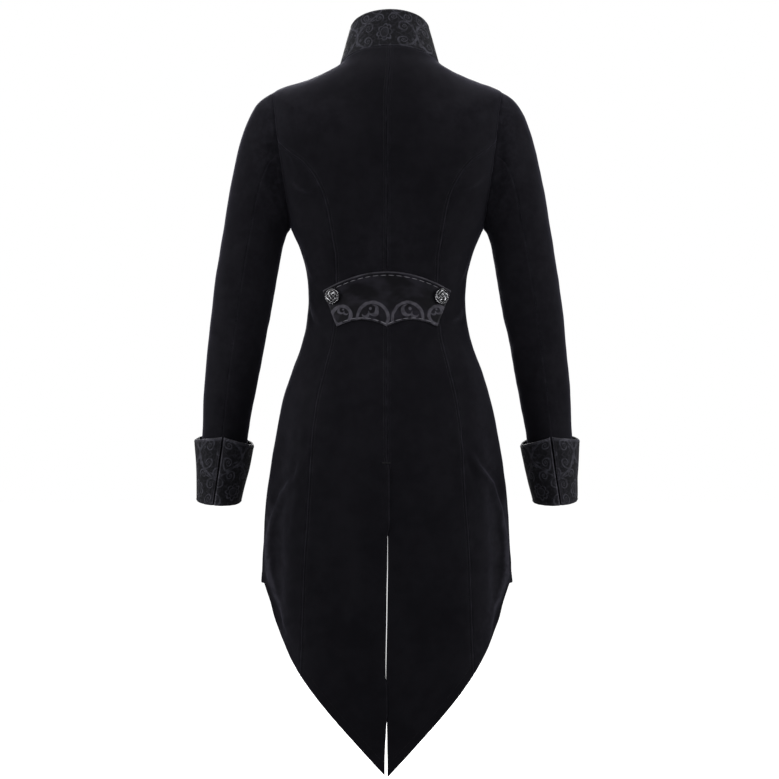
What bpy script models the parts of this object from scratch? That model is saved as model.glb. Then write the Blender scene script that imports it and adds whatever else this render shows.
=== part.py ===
"""A woman's tailcoat in the hollow shape it has when worn.

Metres, +Z up. The front faces -Y and the wearer's left is +X. The origin is in
the middle of the neck, level with the shoulders, where the wearer carries it.
The tables and sizes below are in millimetres.

The coat's body is one smooth form. A point on it has a turn, in degrees round
the body from the centre back (0) over the side (90) to the centre front (180),
and a level, the height of its ring at the centre back. Each cut piece is a wall
of cloth over its own stretch of that form, with a seam's gap to the next.
"""

import math
from bisect import bisect_right
from collections import namedtuple
from functools import lru_cache, partial

import bmesh
import bpy
from mathutils import Vector

MM = 0.001

# Cloth and seams
CLOTH = 2.0
COLLAR_CLOTH = 3.0
CUFF_CLOTH = 3.0
BELT_CLOTH = 2.4
SEAM_GAP = 0.3
FRONT_SEAM_GAP = 0.5
SLEEVE_SEAM_GAP = 0.4

# Rings of the body. The levels of a ring differ at the back, side and front
# over the shoulders. roll rounds the shoulder's top, square is under 1 where a
# ring is boxy, and pinch is over 1 where the side stands out as a soft crease.
Ring = namedtuple("Ring", "level side_z front_z half_width back front roll square pinch")
BODY_RINGS = [
    Ring(29, -2, -50, 81, 60, 66, 1.00, 1.00, 1.00),
    Ring(15, -3, -58, 88, 67, 72, 1.10, 1.00, 1.00),
    Ring(-6, -12, -74, 111, 79, 83, 1.30, 0.97, 0.97),
    Ring(-33, -22, -96, 139, 90, 95, 1.50, 0.94, 0.94),
    Ring(-64, -30, -120, 165, 98, 106, 1.70, 0.92, 0.92),
    Ring(-92, -38, -140, 181, 103, 113, 1.80, 0.90, 0.90),
    Ring(-104, -45, -149, 185.5, 104, 115, 1.80, 0.90, 0.90),
    Ring(-140, -96, -176, 185, 106, 119, 1.80, 0.90, 0.90),
    Ring(-195, -176, -212, 175, 104, 122, 1.60, 0.90, 0.90),
    Ring(-254, -254, -254, 154, 95, 120, 1.50, 0.90, 0.90),
    Ring(-292, -292, -292, 138, 85, 110, 1.50, 0.92, 0.92),
    Ring(-331, -331, -331, 128, 76, 98, 1.50, 0.94, 0.94),
    Ring(-370, -370, -370, 125, 71, 91, 1.50, 0.95, 0.95),
    Ring(-408, -408, -408, 128, 76, 95, 1.50, 0.95, 0.96),
    Ring(-446, -446, -446, 138, 88, 101, 1.50, 0.95, 0.98),
    Ring(-485, -485, -485, 152, 100, 105, 1.50, 0.95, 1.00),
    Ring(-542, -542, -542, 168, 112, 108, 1.50, 0.95, 1.05),
    Ring(-620, -620, -620, 182, 117, 109, 1.50, 0.95, 1.15),
    Ring(-696, -696, -696, 190, 117, 109, 1.50, 0.96, 1.28),
    Ring(-773, -773, -773, 195, 115, 109, 1.50, 0.98, 1.38),
    Ring(-821, -821, -821, 197.5, 113, 109, 1.50, 1.00, 1.42),
    Ring(-1125, -1125, -1125, 209, 104, 109, 1.50, 1.00, 1.45),
]
NECK, SHOULDER_TIP, ARMPIT = BODY_RINGS[0], BODY_RINGS[5], BODY_RINGS[9]

# Soft swellings and folds: each stands out of the form by height, is centred on
# a turn and a level, and fades over its width in degrees and its reach in mm.
Swell = namedtuple("Swell", "turn level width reach_up reach_down height")
SWELLS = [
    Swell(138, -232, 19, 48, 42, 15),
    Swell(28, -135, 22, 60, 80, 4),
    Swell(80, -900, 7, 300, 400, 7),
    Swell(64, -930, 8, 280, 400, -9),
    Swell(40, -1050, 11, 330, 400, 6),
    Swell(17, -1080, 9, 300, 400, -5),
    Swell(104, -800, 8, 250, 400, 5),
]

# The back princess seam, seen from behind: its distance from the centre back.
SeamPoint = namedtuple("SeamPoint", "z x")
BACK_PRINCESS = [
    SeamPoint(-130, 160),
    SeamPoint(-155, 134),
    SeamPoint(-181, 114),
    SeamPoint(-217, 98),
    SeamPoint(-273, 87),
    SeamPoint(-308, 82),
    SeamPoint(-365, 81),
    SeamPoint(-423, 86),
    SeamPoint(-478, 98),
    SeamPoint(-523, 109),
    SeamPoint(-582, 118),
    SeamPoint(-665, 123),
    SeamPoint(-790, 131),
    SeamPoint(-960, 137),
]
FRONT_PRINCESS = [
    SeamPoint(-145, 164),
    SeamPoint(-165, 156),
    SeamPoint(-190, 139),
    SeamPoint(-232, 110),
    SeamPoint(-290, 86),
    SeamPoint(-370, 70),
    SeamPoint(-440, 78),
    SeamPoint(-520, 92),
    SeamPoint(-640, 105),
]

# Hems, as a height for each distance from the middle. The tail runs from its
# tip to the corner at the side; the front is cut away from there to the waist.
HemPoint = namedtuple("HemPoint", "x z")
TAIL_HEM = [
    HemPoint(0, -1117),
    HemPoint(51, -1063),
    HemPoint(84.5, -1026),
    HemPoint(114.5, -990),
    HemPoint(140.5, -954),
    HemPoint(161, -918),
    HemPoint(177, -882),
    HemPoint(188, -847),
    HemPoint(195, -828),
    HemPoint(197.5, -821),
]
CUTAWAY_HEM = [
    HemPoint(-16, -392),
    HemPoint(0, -395),
    HemPoint(35, -408),
    HemPoint(70, -438),
    HemPoint(100, -486),
    HemPoint(130, -560),
    HemPoint(158, -650),
    HemPoint(182, -745),
    HemPoint(197.5, -821),
]
CORNER_Z = -821

# The vent between the tails, open from its top to the tips.
VentPoint = namedtuple("VentPoint", "z gap")
VENT = [
    VentPoint(-632, 0.3),
    VentPoint(-735, 0.8),
    VentPoint(-780, 2.4),
    VentPoint(-845, 3.2),
    VentPoint(-905, 2.2),
    VentPoint(-940, 0.9),
    VentPoint(-1010, 0.9),
    VentPoint(-1040, 3.0),
    VentPoint(-1075, 6.0),
    VentPoint(-1115, 7.5),
]

# Rows that every body piece shares, so that the two sides of a seam match
YOKE_LEVELS = [29, 20, 6, -12, -36, -64]
ARMHOLE_ANGLES = [0, 8, 17, 26, 38, 56, 76, 86, 92, 99, 113, 130, 147, 164, 180]
WAIST_LEVELS = [-276, -300, -326, -352, -378, -404, -432, -462, -496, -536, -584, -632]
TAIL_SHARES = [0.12, 0.25, 0.38, 0.51, 0.64, 0.77, 0.89, 1.0]
PRINCESS_ANGLE = 76
FRONT_PRINCESS_ANGLE = 86
CUT_START = -326

# The armhole's reach to the back and to the front of the side, in degrees
ARMHOLE_BACK = 21.0
ARMHOLE_FRONT = 25.0

# The right front laps over the left by this much on each side of the middle
LAP = 15.0
LAP_RISE_FROM = 34.0
LAP_RISE_TO = 19.0
LAP_GAP = 0.5

# Sleeve sections, from the armhole down, for the left arm. The outer and inner
# points are seen from behind; depth is half the sleeve's size front to back,
# forward its shift to the front, and pitch the forearm's tilt in degrees.
Section = namedtuple("Section", "outer_x outer_z inner_x inner_z depth forward pitch")
SLEEVE_SECTIONS = [
    Section(181, -38, 157, -254, 52, 2, 0),
    Section(193, -45, 157.8, -257, 53, 2, 0),
    Section(206, -56, 158.5, -259, 54, 2, 0),
    Section(217, -73, 159.2, -261, 54, 2, 0),
    Section(228, -98, 160, -263, 54, 2, 0),
    Section(239.5, -137, 161, -266, 53, 2, 0),
    Section(250, -186, 162.5, -271, 53, 2, 0),
    Section(261, -254, 166, -283, 52, 2, 0),
    Section(271, -315, 174.5, -329, 50, 1, 0),
    Section(279.5, -376, 185, -390, 48, 0, 1),
    Section(286.5, -440, 198, -453, 45, 2, 4),
    Section(293, -506, 210.5, -518, 42, 9, 8),
    Section(296.5, -564, 222, -575, 38.5, 18, 10),
    Section(300.5, -630, 230, -640, 36, 29, 10),
    Section(305, -687, 238.5, -696, 35, 39, 10),
]
SLEEVE_STEPS = [0, 0.5, 1, 2, 3, 4, 5, 6, 7, 8, 9, 10, 11, 12, 13, 14]
HINDARM_ANGLE = 86
SLEEVE_SET_OUT = 0.6

# Turned-back cuffs
CUFF_TOP_STEP = 12.5
CUFF_FOOT_OUT = 3.4
CUFF_TOP_OUT = 12.0
CUFF_FLARE = 1.4
CUFF_PEAK = 0.28
CUFF_SLIT = 2.2
CUFF_SHARES = [0, 0.33, 0.67, 1]

# Stand collar: its rim and how it bows between seam and rim
COLLAR_RIM = Ring(87, 61, 10, 64.5, 47, 58, 1.0, 1.0, 1.0)
COLLAR_SEAM_GAP = 0.5
COLLAR_FRONT_GAP = 2.0
COLLAR_SHARES = [0, 0.35, 0.7, 1]
COLLAR_TURNS = 13

# Half-belt across the back waist, seen from behind
BELT_HALF_TOP = 100
BELT_HALF_FOOT = 78
BELT_TOP_MIDDLE = -328
BELT_TOP_END = -357
BELT_FOOT_ARCH = -404
BELT_FOOT_POINT = -415
BELT_LIFT = 1.0
BELT_COLUMNS = 12
BELT_SHARES = [0, 0.3, 0.6, 0.85, 1]

# Buttons: domed discs with a raised rim
Profile = namedtuple("Profile", "radius height")
BUTTON_PROFILE = [
    Profile(0.30, 0.00),
    Profile(0.86, 0.06),
    Profile(1.00, 0.16),
    Profile(0.99, 0.26),
    Profile(0.90, 0.33),
    Profile(0.82, 0.27),
    Profile(0.55, 0.36),
    Profile(0.25, 0.41),
]
BUTTON_SIDES = 16
BACK_BUTTON_RADIUS = 12.5
BACK_BUTTON = (83.5, -366)
FRONT_BUTTON_RADIUS = 10.0
FRONT_BUTTON_LEVELS = [-84, -146, -208, -270, -332]
BUTTON_GAP = 0.35


class Curve:
    """A smooth curve through a table's points that never overshoots them."""

    def __init__(self, knots, values):
        pairs = sorted(zip(knots, values))
        self.knots = [float(knot) for knot, _ in pairs]
        self.values = [float(value) for _, value in pairs]
        self.steps = [b - a for a, b in zip(self.knots, self.knots[1:])]
        rises = [b - a for a, b in zip(self.values, self.values[1:])]
        slopes = [rise / step for rise, step in zip(rises, self.steps)]
        inner = [0.0 if a * b <= 0 else 2 * a * b / (a + b) for a, b in zip(slopes, slopes[1:])]
        self.grades = [slopes[0], *inner, slopes[-1]]

    def at(self, place):
        """Value at a place; beyond an end it stays the end's."""
        place = min(max(place, self.knots[0]), self.knots[-1])
        i = min(bisect_right(self.knots, place) - 1, len(self.steps) - 1)
        step = self.steps[i]
        t = (place - self.knots[i]) / step
        blend = t * t * (3 - 2 * t)
        value = self.values[i] * (1 - blend) + self.values[i + 1] * blend
        rise_out = self.grades[i] * t * (1 - t) ** 2
        rise_in = self.grades[i + 1] * t * t * (1 - t)
        return value + step * (rise_out - rise_in)


def column(table, name):
    """One named column of a table."""
    return [getattr(row, name) for row in table]


def curves_of(table, knots):
    """A curve for each column of a table."""
    return {name: Curve(knots, column(table, name)) for name in table[0]._fields}


RING_CURVES = curves_of(BODY_RINGS, column(BODY_RINGS, "level"))
SECTION_CURVES = curves_of(SLEEVE_SECTIONS, range(len(SLEEVE_SECTIONS)))
BACK_PRINCESS_CURVE = Curve(column(BACK_PRINCESS, "z"), column(BACK_PRINCESS, "x"))
FRONT_PRINCESS_CURVE = Curve(column(FRONT_PRINCESS, "z"), column(FRONT_PRINCESS, "x"))
TAIL_HEM_CURVE = Curve(column(TAIL_HEM, "x"), column(TAIL_HEM, "z"))
CUTAWAY_HEM_CURVE = Curve(column(CUTAWAY_HEM, "x"), column(CUTAWAY_HEM, "z"))
VENT_CURVE = Curve(column(VENT, "z"), column(VENT, "gap"))


@lru_cache(maxsize=None)
def ring_at(level):
    """The body's ring at a level."""
    return Ring(*(RING_CURVES[name].at(level) for name in Ring._fields))


def signed_power(value, exponent):
    return math.copysign(abs(value) ** exponent, value)


def smooth_step(value):
    """0 below 0, 1 above 1, and smooth between."""
    t = min(max(value, 0.0), 1.0)
    return t * t * (3 - 2 * t)


def ring_point(ring, turn):
    """Point of a ring at a turn, without swellings."""
    sine, cosine = math.sin(math.radians(turn)), math.cos(math.radians(turn))
    depth, end_z = (ring.back, ring.level) if cosine > 0 else (ring.front, ring.front_z)
    x = ring.half_width * signed_power(sine, ring.square)
    y = depth * signed_power(cosine, ring.pinch)
    z = ring.side_z + (end_z - ring.side_z) * abs(cosine) ** ring.roll
    return Vector((x, y, z))


def swelling(turn, level):
    """How far the form stands out at a place."""
    total = 0.0
    for swell in SWELLS:
        for centre in (swell.turn, -swell.turn, 360 - swell.turn):
            reach = swell.reach_up if level > swell.level else swell.reach_down
            across, along = (turn - centre) / swell.width, (level - swell.level) / reach
            total += swell.height * math.exp(-across * across - along * along)
    return total


def body(turn, level):
    """Point on the outer face of the coat's body."""
    point = ring_point(ring_at(level), turn)
    out = Vector((point.x, point.y, 0))
    return point + out.normalized() * swelling(turn, level)


def lapped_body(turn, level):
    """The body, moved out near the middle front where one front laps the other."""
    point = body(turn, level)
    risen = smooth_step((LAP_RISE_FROM - point.x) / (LAP_RISE_FROM - LAP_RISE_TO))
    lift = (CLOTH + LAP_GAP) * risen
    return point + face_normal(body, turn, level) * lift


def face_normal(surface, u, v, du=0.4, dv=0.6):
    """Normal of a surface at a place; it points outwards for the body."""
    across = surface(u + du, v) - surface(u - du, v)
    along = surface(u, v + dv) - surface(u, v - dv)
    return along.cross(across).normalized()


def crossing(function, low, high):
    """Where a function changes sign between two places."""
    at_low = function(low)
    for _ in range(32):
        middle = (low + high) / 2
        if (function(middle) > 0) == (at_low > 0):
            low = middle
        else:
            high = middle
    return (low + high) / 2


@lru_cache(maxsize=None)
def tail_level(turn):
    """Level of the tail's hem at a turn."""
    return crossing(lambda z: z - TAIL_HEM_CURVE.at(body(turn, z).x), -1124, CORNER_Z + 4)


@lru_cache(maxsize=None)
def cutaway_level(turn):
    """Level of the front's cut-away edge at a turn."""
    return crossing(lambda z: z - CUTAWAY_HEM_CURVE.at(body(turn, z).x), CORNER_Z - 4, -380)


def seam_turn(seam, level, low, high):
    """Turn at which a row of the body crosses a seam given as seen from behind."""

    def past_seam(turn):
        point = body(turn, level)
        return point.x - seam.at(point.z)

    return crossing(past_seam, low, high)


def armhole(angle):
    """(turn, level) on the armhole. The angle is 0 at the shoulder, 180 at the
    armpit and positive to the back."""
    share = (1 - math.cos(math.radians(angle))) / 2
    level = SHOULDER_TIP.level + (ARMPIT.level - SHOULDER_TIP.level) * share
    sine = math.sin(math.radians(angle))
    reach = ARMHOLE_BACK if sine > 0 else ARMHOLE_FRONT
    return 90 - reach * signed_power(sine, 0.85), level


def turn_for(distance, turn, level):
    """Degrees of turn that cover a distance along a row."""
    return distance / ((body(turn + 0.5, level) - body(turn - 0.5, level)).length or 1)


def armhole_rows(first=0):
    """(level, armhole angle) of the rows that end at the armhole, from an angle down."""
    return [(armhole(angle)[1], angle) for angle in ARMHOLE_ANGLES if angle >= first]


def upper_rows():
    """(level, armhole angle or None) of the rows above the waist, from the neck down."""
    return [(level, None) for level in YOKE_LEVELS] + armhole_rows()


def side_level(row):
    """Level at the side seam of a row that is below the armpit."""
    if row < len(WAIST_LEVELS):
        return WAIST_LEVELS[row]
    share = TAIL_SHARES[row - len(WAIST_LEVELS)]
    return WAIST_LEVELS[-1] + (CORNER_Z - WAIST_LEVELS[-1]) * share


LOWER_ROWS = len(WAIST_LEVELS) + len(TAIL_SHARES)


def back_level(row, turn):
    """Level of a row below the armpit on the back pieces: level rows down to
    the vent, then rows that lean over to the hem."""
    if row < len(WAIST_LEVELS):
        return WAIST_LEVELS[row]
    share = TAIL_SHARES[row - len(WAIST_LEVELS)]
    return WAIST_LEVELS[-1] + (tail_level(turn) - WAIST_LEVELS[-1]) * share


def front_level(row, turn):
    """Level of a row below the armpit on the front pieces, which lean over to
    the cut-away edge."""
    level = side_level(row)
    if level > CUT_START:
        return level
    share = (level - CUT_START) / (CORNER_Z - CUT_START)
    return CUT_START + (cutaway_level(turn) - CUT_START) * share


def inset(turn, level, distance):
    """A turn moved by a distance along the row; positive is towards the front."""
    return turn + turn_for(distance, turn, level)


def centre_back_turn(level):
    """Edge of the back piece at the middle: a seam, then the open vent."""
    return turn_for(VENT_CURVE.at(level) / 2, 0, level)


@lru_cache(maxsize=None)
def back_princess_turn(level):
    return seam_turn(BACK_PRINCESS_CURVE, level, 5, 89)


@lru_cache(maxsize=None)
def front_princess_turn(level):
    return seam_turn(FRONT_PRINCESS_CURVE, level, 175, 91)


def beside_seam(seam, distance):
    """An edge that keeps a distance from a seam, squarely across it."""

    def edge(level):
        turn = seam(level)
        run = (body(seam(level - 2), level) - body(seam(level + 2), level)).length / 4
        return inset(turn, level, distance * math.sqrt(1 + run * run))

    return edge


def front_turn(x):
    """The line down the front at a distance from the middle."""
    return lambda level: crossing(lambda turn: body(turn, level).x - x, 100, 200)


def row_places(level_of, about, edges, columns):
    """Places along a row, spaced evenly between its edges. Each edge is a turn
    for a level, and is found at the level the row has there."""
    turns = []
    for edge in edges:
        turn = edge(about)
        for _ in range(6):
            turn = edge(level_of(turn))
        turns.append(turn)
    places = [(turns[0], level_of(turns[0]))]
    for start, end, count in zip(turns, turns[1:], columns):
        spaced = [start + (end - start) * i / count for i in range(1, count + 1)]
        places += [(turn, level_of(turn)) for turn in spaced]
    return places


def level_row(level, edges, columns):
    return row_places(lambda turn: level, level, edges, columns)


def lower_rows(row_level, edges, columns):
    """Rows from the armpit down to the hem."""
    rows = []
    for row in range(LOWER_ROWS):
        rows.append(row_places(partial(row_level, row), side_level(row), edges, columns))
    return rows


def fixed(turn):
    return lambda level: turn


BACK_COLUMNS = [7]
SIDE_COLUMNS = [5]
FRONT_COLUMNS = [5, 1, 1, 1]
FRONT_LINES = [front_turn(LAP_RISE_FROM), front_turn(LAP_RISE_TO), front_turn(0), front_turn(-LAP)]
CORNER_LEFT = 1.8


def back_grid():
    """Rows of the back piece, from the neck to the tail's hem."""
    grid = []
    princess = beside_seam(back_princess_turn, -SEAM_GAP / 2)
    for level, angle in upper_rows():
        edge = 90 if angle is None else armhole(angle)[0]
        side = fixed(inset(edge, level, -SEAM_GAP / 2))
        if angle == PRINCESS_ANGLE:
            side = fixed(inset(edge, level, -CORNER_LEFT))
        if angle is not None and angle > PRINCESS_ANGLE:
            side = princess
        grid.append(level_row(level, [centre_back_turn, side], BACK_COLUMNS))
    return grid + lower_rows(back_level, [centre_back_turn, princess], BACK_COLUMNS)


def side_back_grid():
    """Rows of the side back piece, from its tip at the armhole to the hem."""
    grid = []
    princess = beside_seam(back_princess_turn, SEAM_GAP / 2)
    side_seam = beside_seam(fixed(90), -SEAM_GAP / 2)
    for level, angle in armhole_rows(PRINCESS_ANGLE):
        edge = armhole(angle)[0]
        start = princess
        if angle == PRINCESS_ANGLE:
            start = fixed(inset(edge, level, SEAM_GAP * 1.5 - CORNER_LEFT))
        end = side_seam if angle == 180 else fixed(edge)
        grid.append(level_row(level, [start, end], SIDE_COLUMNS))
    return grid + lower_rows(back_level, [princess, side_seam], SIDE_COLUMNS)


def side_front_grid():
    """Rows of the side front piece, from its tip at the armhole to the cut-away edge."""
    grid = []
    princess = beside_seam(front_princess_turn, -FRONT_SEAM_GAP / 2)
    side_seam = beside_seam(fixed(90), SEAM_GAP / 2)
    for level, angle in armhole_rows(FRONT_PRINCESS_ANGLE):
        edge = armhole(-angle)[0]
        end = princess
        if angle == FRONT_PRINCESS_ANGLE:
            end = fixed(inset(edge, level, CORNER_LEFT - FRONT_SEAM_GAP * 1.8))
        start = side_seam if angle == 180 else fixed(edge)
        grid.append(level_row(level, [start, end], SIDE_COLUMNS))
    return grid + lower_rows(front_level, [side_seam, princess], SIDE_COLUMNS)


def front_grid():
    """Rows of a front piece, from the neck to the cut-away edge."""
    grid = []
    princess = beside_seam(front_princess_turn, FRONT_SEAM_GAP / 2)
    for level, angle in upper_rows():
        edge = 90 if angle is None else armhole(-angle)[0]
        side = fixed(inset(edge, level, SEAM_GAP / 2))
        if angle == FRONT_PRINCESS_ANGLE:
            side = fixed(inset(edge, level, CORNER_LEFT))
        if angle is not None and angle > FRONT_PRINCESS_ANGLE:
            side = princess
        grid.append(level_row(level, [side, *FRONT_LINES], FRONT_COLUMNS))
    return grid + lower_rows(front_level, [princess, *FRONT_LINES], FRONT_COLUMNS)


@lru_cache(maxsize=None)
def section_at(step):
    """The sleeve's section at a step down the table."""
    return Section(*(SECTION_CURVES[name].at(step) for name in Section._fields))


def section_point(section, angle):
    """Point of a sleeve section; the angle is 0 at the outer side and 90 at the back."""
    cosine, sine = math.cos(math.radians(angle)), math.sin(math.radians(angle))
    outer = Vector((section.outer_x, 0, section.outer_z))
    inner = Vector((section.inner_x, 0, section.inner_z))
    local_y = section.depth * sine
    point = (outer + inner) / 2 + (outer - inner) / 2 * cosine
    point.y = local_y - section.forward
    point.z -= local_y * math.tan(math.radians(section.pitch))
    return point


def sleeve(angle, step):
    """Point on a sleeve's outer face. Near the armhole it takes the armhole's own shape."""
    point = section_point(section_at(step), angle)
    seat = body(*armhole((angle + 180) % 360 - 180)) - section_point(SLEEVE_SECTIONS[0], angle)
    seat.x += SLEEVE_SET_OUT
    return point + seat * (1 - smooth_step(step / 6.0))


def sleeve_grid(angles):
    return [[(angle, step) for angle in angles] for step in SLEEVE_STEPS]


def sleeve_inset(angle, step, distance):
    """An angle moved by a distance round the sleeve."""
    return angle + distance / (sleeve(angle + 0.5, step) - sleeve(angle - 0.5, step)).length


def sleeve_piece_grid(angles):
    """Rows of a sleeve piece, with a seam's half gap at both edges."""
    grid = []
    for row in sleeve_grid(angles):
        first, last = row[0], row[-1]
        row[0] = (sleeve_inset(*first, SLEEVE_SEAM_GAP / 2), first[1])
        row[-1] = (sleeve_inset(*last, -SLEEVE_SEAM_GAP / 2), last[1])
        grid.append(row)
    return grid


UPPER_SLEEVE_ANGLES = [-99, -92, -86, -76, -56, -38, -26, -17, -8, 0, 8, 17, 26, 38, 56, 76, 86]
UNDER_SLEEVE_ANGLES = [86, 92, 99, 113, 130, 147, 164, 180, 196, 213, 230, 247, 261]
CUFF_ANGLES = UNDER_SLEEVE_ANGLES[:-1] + [angle + 360 for angle in UPPER_SLEEVE_ANGLES]


def cuff(angle, share):
    """Point on the cuff's outer face: the share is 0 at its foot and 1 at its top,
    which rises to a peak at the slit."""
    from_slit = abs((angle - HINDARM_ANGLE + 180) % 360 - 180) / 100
    top = CUFF_TOP_STEP - CUFF_PEAK * max(0.0, 1 - from_slit)
    last = len(SLEEVE_SECTIONS) - 1
    step = last + (top - last) * share
    out = CUFF_FOOT_OUT + (CUFF_TOP_OUT - CUFF_FOOT_OUT) * max(share, 0.0) ** CUFF_FLARE
    return sleeve(angle, step) + face_normal(sleeve, angle, min(step, last - 0.02), 0.4, 0.02) * out


def cuff_grid():
    """Rows of the cuff from its foot up, open at the slit."""
    grid = []
    for share in CUFF_SHARES:
        row = [(angle, share) for angle in CUFF_ANGLES]
        half_slit = math.degrees(CUFF_SLIT / 2 / 40)
        row[0] = (row[0][0] + half_slit, share)
        row[-1] = (row[-1][0] - half_slit, share)
        grid.append(row)
    return grid


def collar(turn, share):
    """Point on the stand collar's outer face, from the neck seam to the rim."""
    mixed = Ring(*(a + (b - a) * share for a, b in zip(NECK, COLLAR_RIM)))
    point = ring_point(mixed, turn)
    point.z += COLLAR_SEAM_GAP * (1 - share)
    return point


def collar_grid():
    """Rows of the collar, round the neck from one front end to the other."""
    end = 180 - math.degrees(COLLAR_FRONT_GAP / NECK.half_width)
    turns = [end * i / COLLAR_TURNS for i in range(-COLLAR_TURNS, COLLAR_TURNS + 1)]
    return [[(turn, share) for turn in turns] for share in COLLAR_SHARES]


def belt_edges(across):
    """(x at the top, x at the foot, top z, foot z) of the half-belt; across is -1 to 1."""
    top = BELT_TOP_MIDDLE + (BELT_TOP_END - BELT_TOP_MIDDLE) * across * across
    lobe = math.sin(math.pi * min(abs(across), 1.0))
    foot = BELT_FOOT_POINT + (BELT_FOOT_ARCH - BELT_FOOT_POINT) * lobe**0.8
    return BELT_HALF_TOP * across, BELT_HALF_FOOT * across, top, foot


def belt_grid():
    """Rows of the half-belt from its top edge down, as places on the body."""
    grid = []
    for share in BELT_SHARES:
        row = []
        for i in range(-BELT_COLUMNS // 2, BELT_COLUMNS // 2 + 1):
            top_x, foot_x, top, foot = belt_edges(2 * i / BELT_COLUMNS)
            x, z = top_x + (foot_x - top_x) * share, top + (foot - top) * share
            turn = crossing(lambda turn: body(turn, z).x - abs(x), 0, 80)
            row.append((math.copysign(turn, x), z))
        grid.append(row)
    return grid


def material(name, colour, roughness, metallic=0.0):
    """A plain Principled material, made once."""
    made = bpy.data.materials.get(name)
    if made:
        return made
    made = bpy.data.materials.new(name)
    made.use_nodes = True
    shader = made.node_tree.nodes["Principled BSDF"]
    shader.inputs["Base Color"].default_value = (*colour, 1)
    shader.inputs["Roughness"].default_value = roughness
    shader.inputs["Metallic"].default_value = metallic
    return made


def velvet():
    return material("velvet", (0.012, 0.012, 0.016), 0.95)


def damask():
    return material("damask", (0.035, 0.035, 0.042), 0.7)


def satin():
    return material("belt_satin", (0.02, 0.02, 0.026), 0.4)


def pewter():
    return material("pewter", (0.42, 0.42, 0.44), 0.35, 1.0)


def add_object(name, mesh_maker, made_of):
    """An object from a bmesh, shaded smooth, with its faces turned outwards."""
    mesh = bpy.data.meshes.new(name)
    bmesh.ops.recalc_face_normals(mesh_maker, faces=mesh_maker.faces)
    mesh_maker.to_mesh(mesh)
    mesh_maker.free()
    mesh.shade_smooth()
    mesh.set_sharp_from_angle(angle=math.radians(50))
    mesh.materials.append(made_of)
    made = bpy.data.objects.new(name, mesh)
    bpy.context.collection.objects.link(made)
    return made


def add_cloth(name, surface, grid, made_of, inner, outer, mirrored=False, normal_of=None):
    """A wall of cloth over a grid of places on a surface, between two distances from it."""
    rows, columns = len(grid), len(grid[0])
    normal_of = normal_of or (lambda *place: face_normal(surface, *place))
    mesh_maker = bmesh.new()
    bmesh.ops.create_grid(mesh_maker, x_segments=columns - 1, y_segments=rows - 1, size=1)
    lower = in_grid_order(mesh_maker.verts)
    lifted = bmesh.ops.extrude_face_region(mesh_maker, geom=mesh_maker.faces[:])
    upper = in_grid_order(item for item in lifted["geom"] if isinstance(item, bmesh.types.BMVert))
    mirror = -1 if mirrored else 1
    for index, (low, high) in enumerate(zip(lower, upper)):
        place = grid[index // columns][index % columns]
        point, normal = surface(*place), normal_of(*place)
        for vert, distance in ((low, inner), (high, outer)):
            spot = (point + normal * distance) * MM
            vert.co = (spot.x * mirror, spot.y, spot.z)
    return add_object(name, mesh_maker, made_of)


def in_grid_order(verts):
    """Vertices of a flat grid, row by row."""
    return sorted(verts, key=lambda vert: (round(vert.co.y, 5), round(vert.co.x, 5)))


def sleeve_normal(angle, step):
    """Direction of the sleeve's wall. At the armhole it is the body's, so that
    the two edges are parallel."""
    own = face_normal(sleeve, angle, max(step, 0.05), 0.4, 0.05)
    seat = face_normal(body, *armhole((angle + 180) % 360 - 180))
    return own.lerp(seat, 1 - smooth_step(step / 1.0)).normalized()


def cuff_normal(angle, share):
    return -face_normal(cuff, angle, min(max(share, 0.02), 0.98), 0.4, 0.02)


def collar_normal(turn, share):
    return face_normal(collar, turn, share, 0.4, 0.02)


def add_button(name, radius, place, mirrored=False, lift=0.0):
    """A domed button seated on the body at a place, facing outwards."""
    mesh_maker = bmesh.new()
    outline = [(0, 0)]
    outline += [(row.radius * radius * MM, row.height * radius * MM) for row in BUTTON_PROFILE]
    outline += [(0, BUTTON_PROFILE[-1].height * radius * MM)]
    corners = [mesh_maker.verts.new((across, 0, up)) for across, up in outline]
    edges = [mesh_maker.edges.new(pair) for pair in zip(corners, corners[1:])]
    bmesh.ops.spin(
        mesh_maker,
        geom=corners + edges,
        cent=(0, 0, 0),
        axis=(0, 0, 1),
        angle=math.tau,
        steps=BUTTON_SIDES,
        use_merge=True,
    )
    bmesh.ops.remove_doubles(mesh_maker, verts=mesh_maker.verts[:], dist=0.000001)
    made = add_object(name, mesh_maker, pewter())
    point, normal = body(*place), face_normal(body, *place)
    mirror = -1 if mirrored else 1
    spot = (point + normal * (lift + BUTTON_GAP)) * MM
    facing = Vector((normal.x * mirror, normal.y, normal.z))
    made.location = (spot.x * mirror, spot.y, spot.z)
    made.rotation_euler = facing.to_track_quat("Z", "Y").to_euler()
    return made


def build_body():
    """The eight panels of the body, tails included."""
    pieces = [
        ("back", back_grid()),
        ("side_back", side_back_grid()),
        ("side_front", side_front_grid()),
    ]
    for name, grid in pieces:
        for side, mirrored in (("left", False), ("right", True)):
            add_cloth(f"{name}_{side}", body, grid, velvet(), -CLOTH, 0, mirrored)
    fronts = front_grid()
    add_cloth("front_left", body, fronts, velvet(), -CLOTH, 0)
    add_cloth("front_right", lapped_body, fronts, velvet(), -CLOTH, 0, mirrored=True)


def build_sleeves():
    """Two-piece sleeves with turned-back cuffs."""
    for side, mirrored in (("left", False), ("right", True)):
        for name, angles in (("upper", UPPER_SLEEVE_ANGLES), ("under", UNDER_SLEEVE_ANGLES)):
            add_cloth(
                f"{name}_sleeve_{side}",
                sleeve,
                sleeve_piece_grid(angles),
                velvet(),
                -CLOTH,
                0,
                mirrored,
                sleeve_normal,
            )
        cuff_wall = (cuff_grid(), damask(), -CUFF_CLOTH, 0, mirrored, cuff_normal)
        add_cloth(f"cuff_{side}", cuff, *cuff_wall)


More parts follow.
